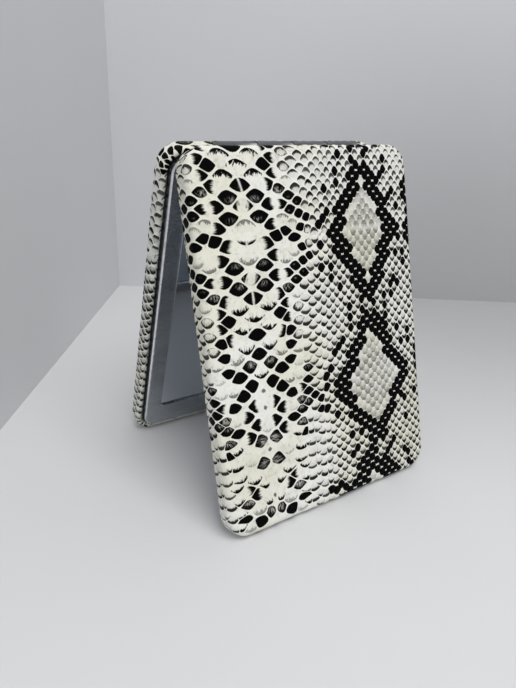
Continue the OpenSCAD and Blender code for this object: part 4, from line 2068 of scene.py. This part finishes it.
@dataclass
class Studio:
    """The floor, the two walls, the light and the camera."""

    yaw: float = 34.68
    pitch: float = 23.67
    roll: float = 2.85
    lens: float = 29.365
    camera_from_hinge: tuple[float, float, float] = (-82.77, -110.39, 10.28)
    corner: tuple[float, float] = (0.0142, 0.1575)
    left_way: tuple[float, float] = (-0.574, -0.819)
    right_way: tuple[float, float] = (0.834, -0.552)
    wall: tuple[float, float] = (0.9, 0.36)
    floor_half: float = 1.5
    lamp_place: tuple[float, float, float] = (-0.03, -0.34, 0.60)
    lamp_aim: tuple[float, float, float] = (0.0, 0.0, 0.04)
    lamp_size: float = 0.40
    lamp_watts: float = 2.7
    world_strength: float = 0.43

    def camera(self) -> None:
        """Makes the camera at the photograph's viewing angle."""
        yaw, pitch, roll = (math.radians(angle) for angle in (self.yaw, self.pitch, self.roll))
        ahead = Vector((math.sin(yaw) * math.cos(pitch), math.cos(yaw) * math.cos(pitch), -math.sin(pitch)))
        right = Vector((math.cos(yaw), -math.sin(yaw), 0))
        up = right.cross(ahead)
        x_axis = right * math.cos(roll) + up * math.sin(roll)
        y_axis = up * math.cos(roll) - right * math.sin(roll)
        data = bpy.data.cameras.new("camera")
        data.lens = self.lens
        data.sensor_width = 36
        data.sensor_fit = "AUTO"
        data.clip_start = 0.005
        camera = bpy.data.objects.new("camera", data)
        turn = Matrix((x_axis, y_axis, -ahead)).transposed().to_4x4()
        offset = Vector(self.camera_from_hinge) * MM
        camera.matrix_world = Matrix.Translation(offset + Vector((0, 0, hinge_height() * MM))) @ turn
        bpy.context.scene.collection.objects.link(camera)
        bpy.context.scene.camera = camera

    def board(self, name: str, corners: Sequence[tuple[float, float, float]], finish: StageFinish) -> None:
        """Adds a flat board of the stage.

        Args:
            name: its name.
            corners: its corners in metres.
            finish: its paint.
        """
        mesh = bpy.data.meshes.new(name)
        mesh.from_pydata([list(corner) for corner in corners], [], [tuple(range(len(corners)))])
        mesh.materials.append(finish.material())
        board = bpy.data.objects.new(name, mesh)
        bpy.context.scene.collection.objects.link(board)

    def stage(self) -> None:
        """Makes the floor and the two walls behind the compact."""
        size = self.floor_half
        self.board("floor", ((-size, -size, 0), (size, -size, 0), (size, size, 0), (-size, size, 0)),
                   StageFinish("floor paint", (0.74, 0.74, 0.745)))
        length, height = self.wall
        paint = StageFinish("wall paint", (0.66, 0.665, 0.68), True)
        for name, way in (("left_wall", self.left_way), ("back_wall", self.right_way)):
            near = (*self.corner, 0.0)
            far = (self.corner[0] + way[0] * length, self.corner[1] + way[1] * length, 0.0)
            corners = [near, far, (*far[:2], height), (*near[:2], height)]
            self.board(name, corners[::-1] if name == "left_wall" else corners, paint)

    def light(self) -> None:
        """Makes one square soft light that points at the compact, and the pale surroundings."""
        data = bpy.data.lights.new("window light", "AREA")
        data.shape = "SQUARE"
        data.size = self.lamp_size
        data.energy = self.lamp_watts
        lamp = bpy.data.objects.new("window light", data)
        lamp.location = self.lamp_place
        aim = Vector(self.lamp_aim) - Vector(self.lamp_place)
        lamp.rotation_euler = aim.to_track_quat("-Z", "Y").to_euler()
        bpy.context.scene.collection.objects.link(lamp)
        world = bpy.data.worlds.new("studio")
        world.use_nodes = True
        tree = world.node_tree
        tree.nodes.clear()
        board = Board(tree)
        sky = board.add("Background", Color=(0.97, 0.98, 1.0, 1.0), Strength=self.world_strength)
        board.add("OutputWorld", Surface=sky.outputs[0])
        bpy.context.scene.world = world

    def build(self) -> None:
        """Sets the whole studio up."""
        self.camera()
        self.stage()
        self.light()


def main() -> None:
    """Builds the compact and its studio, and reports each piece."""
    logging.basicConfig(level=logging.INFO, format="%(name)s: %(message)s")
    scene = bpy.context.scene
    scene.view_settings.view_transform = "Standard"
    Studio().build()
    for half in Half:
        pieces = CompactHalf(half).build()
        LOG.info("%s half: %d new pieces", half.value, len(pieces))
    HingePin().build()


if __name__ == "__main__":
    main()
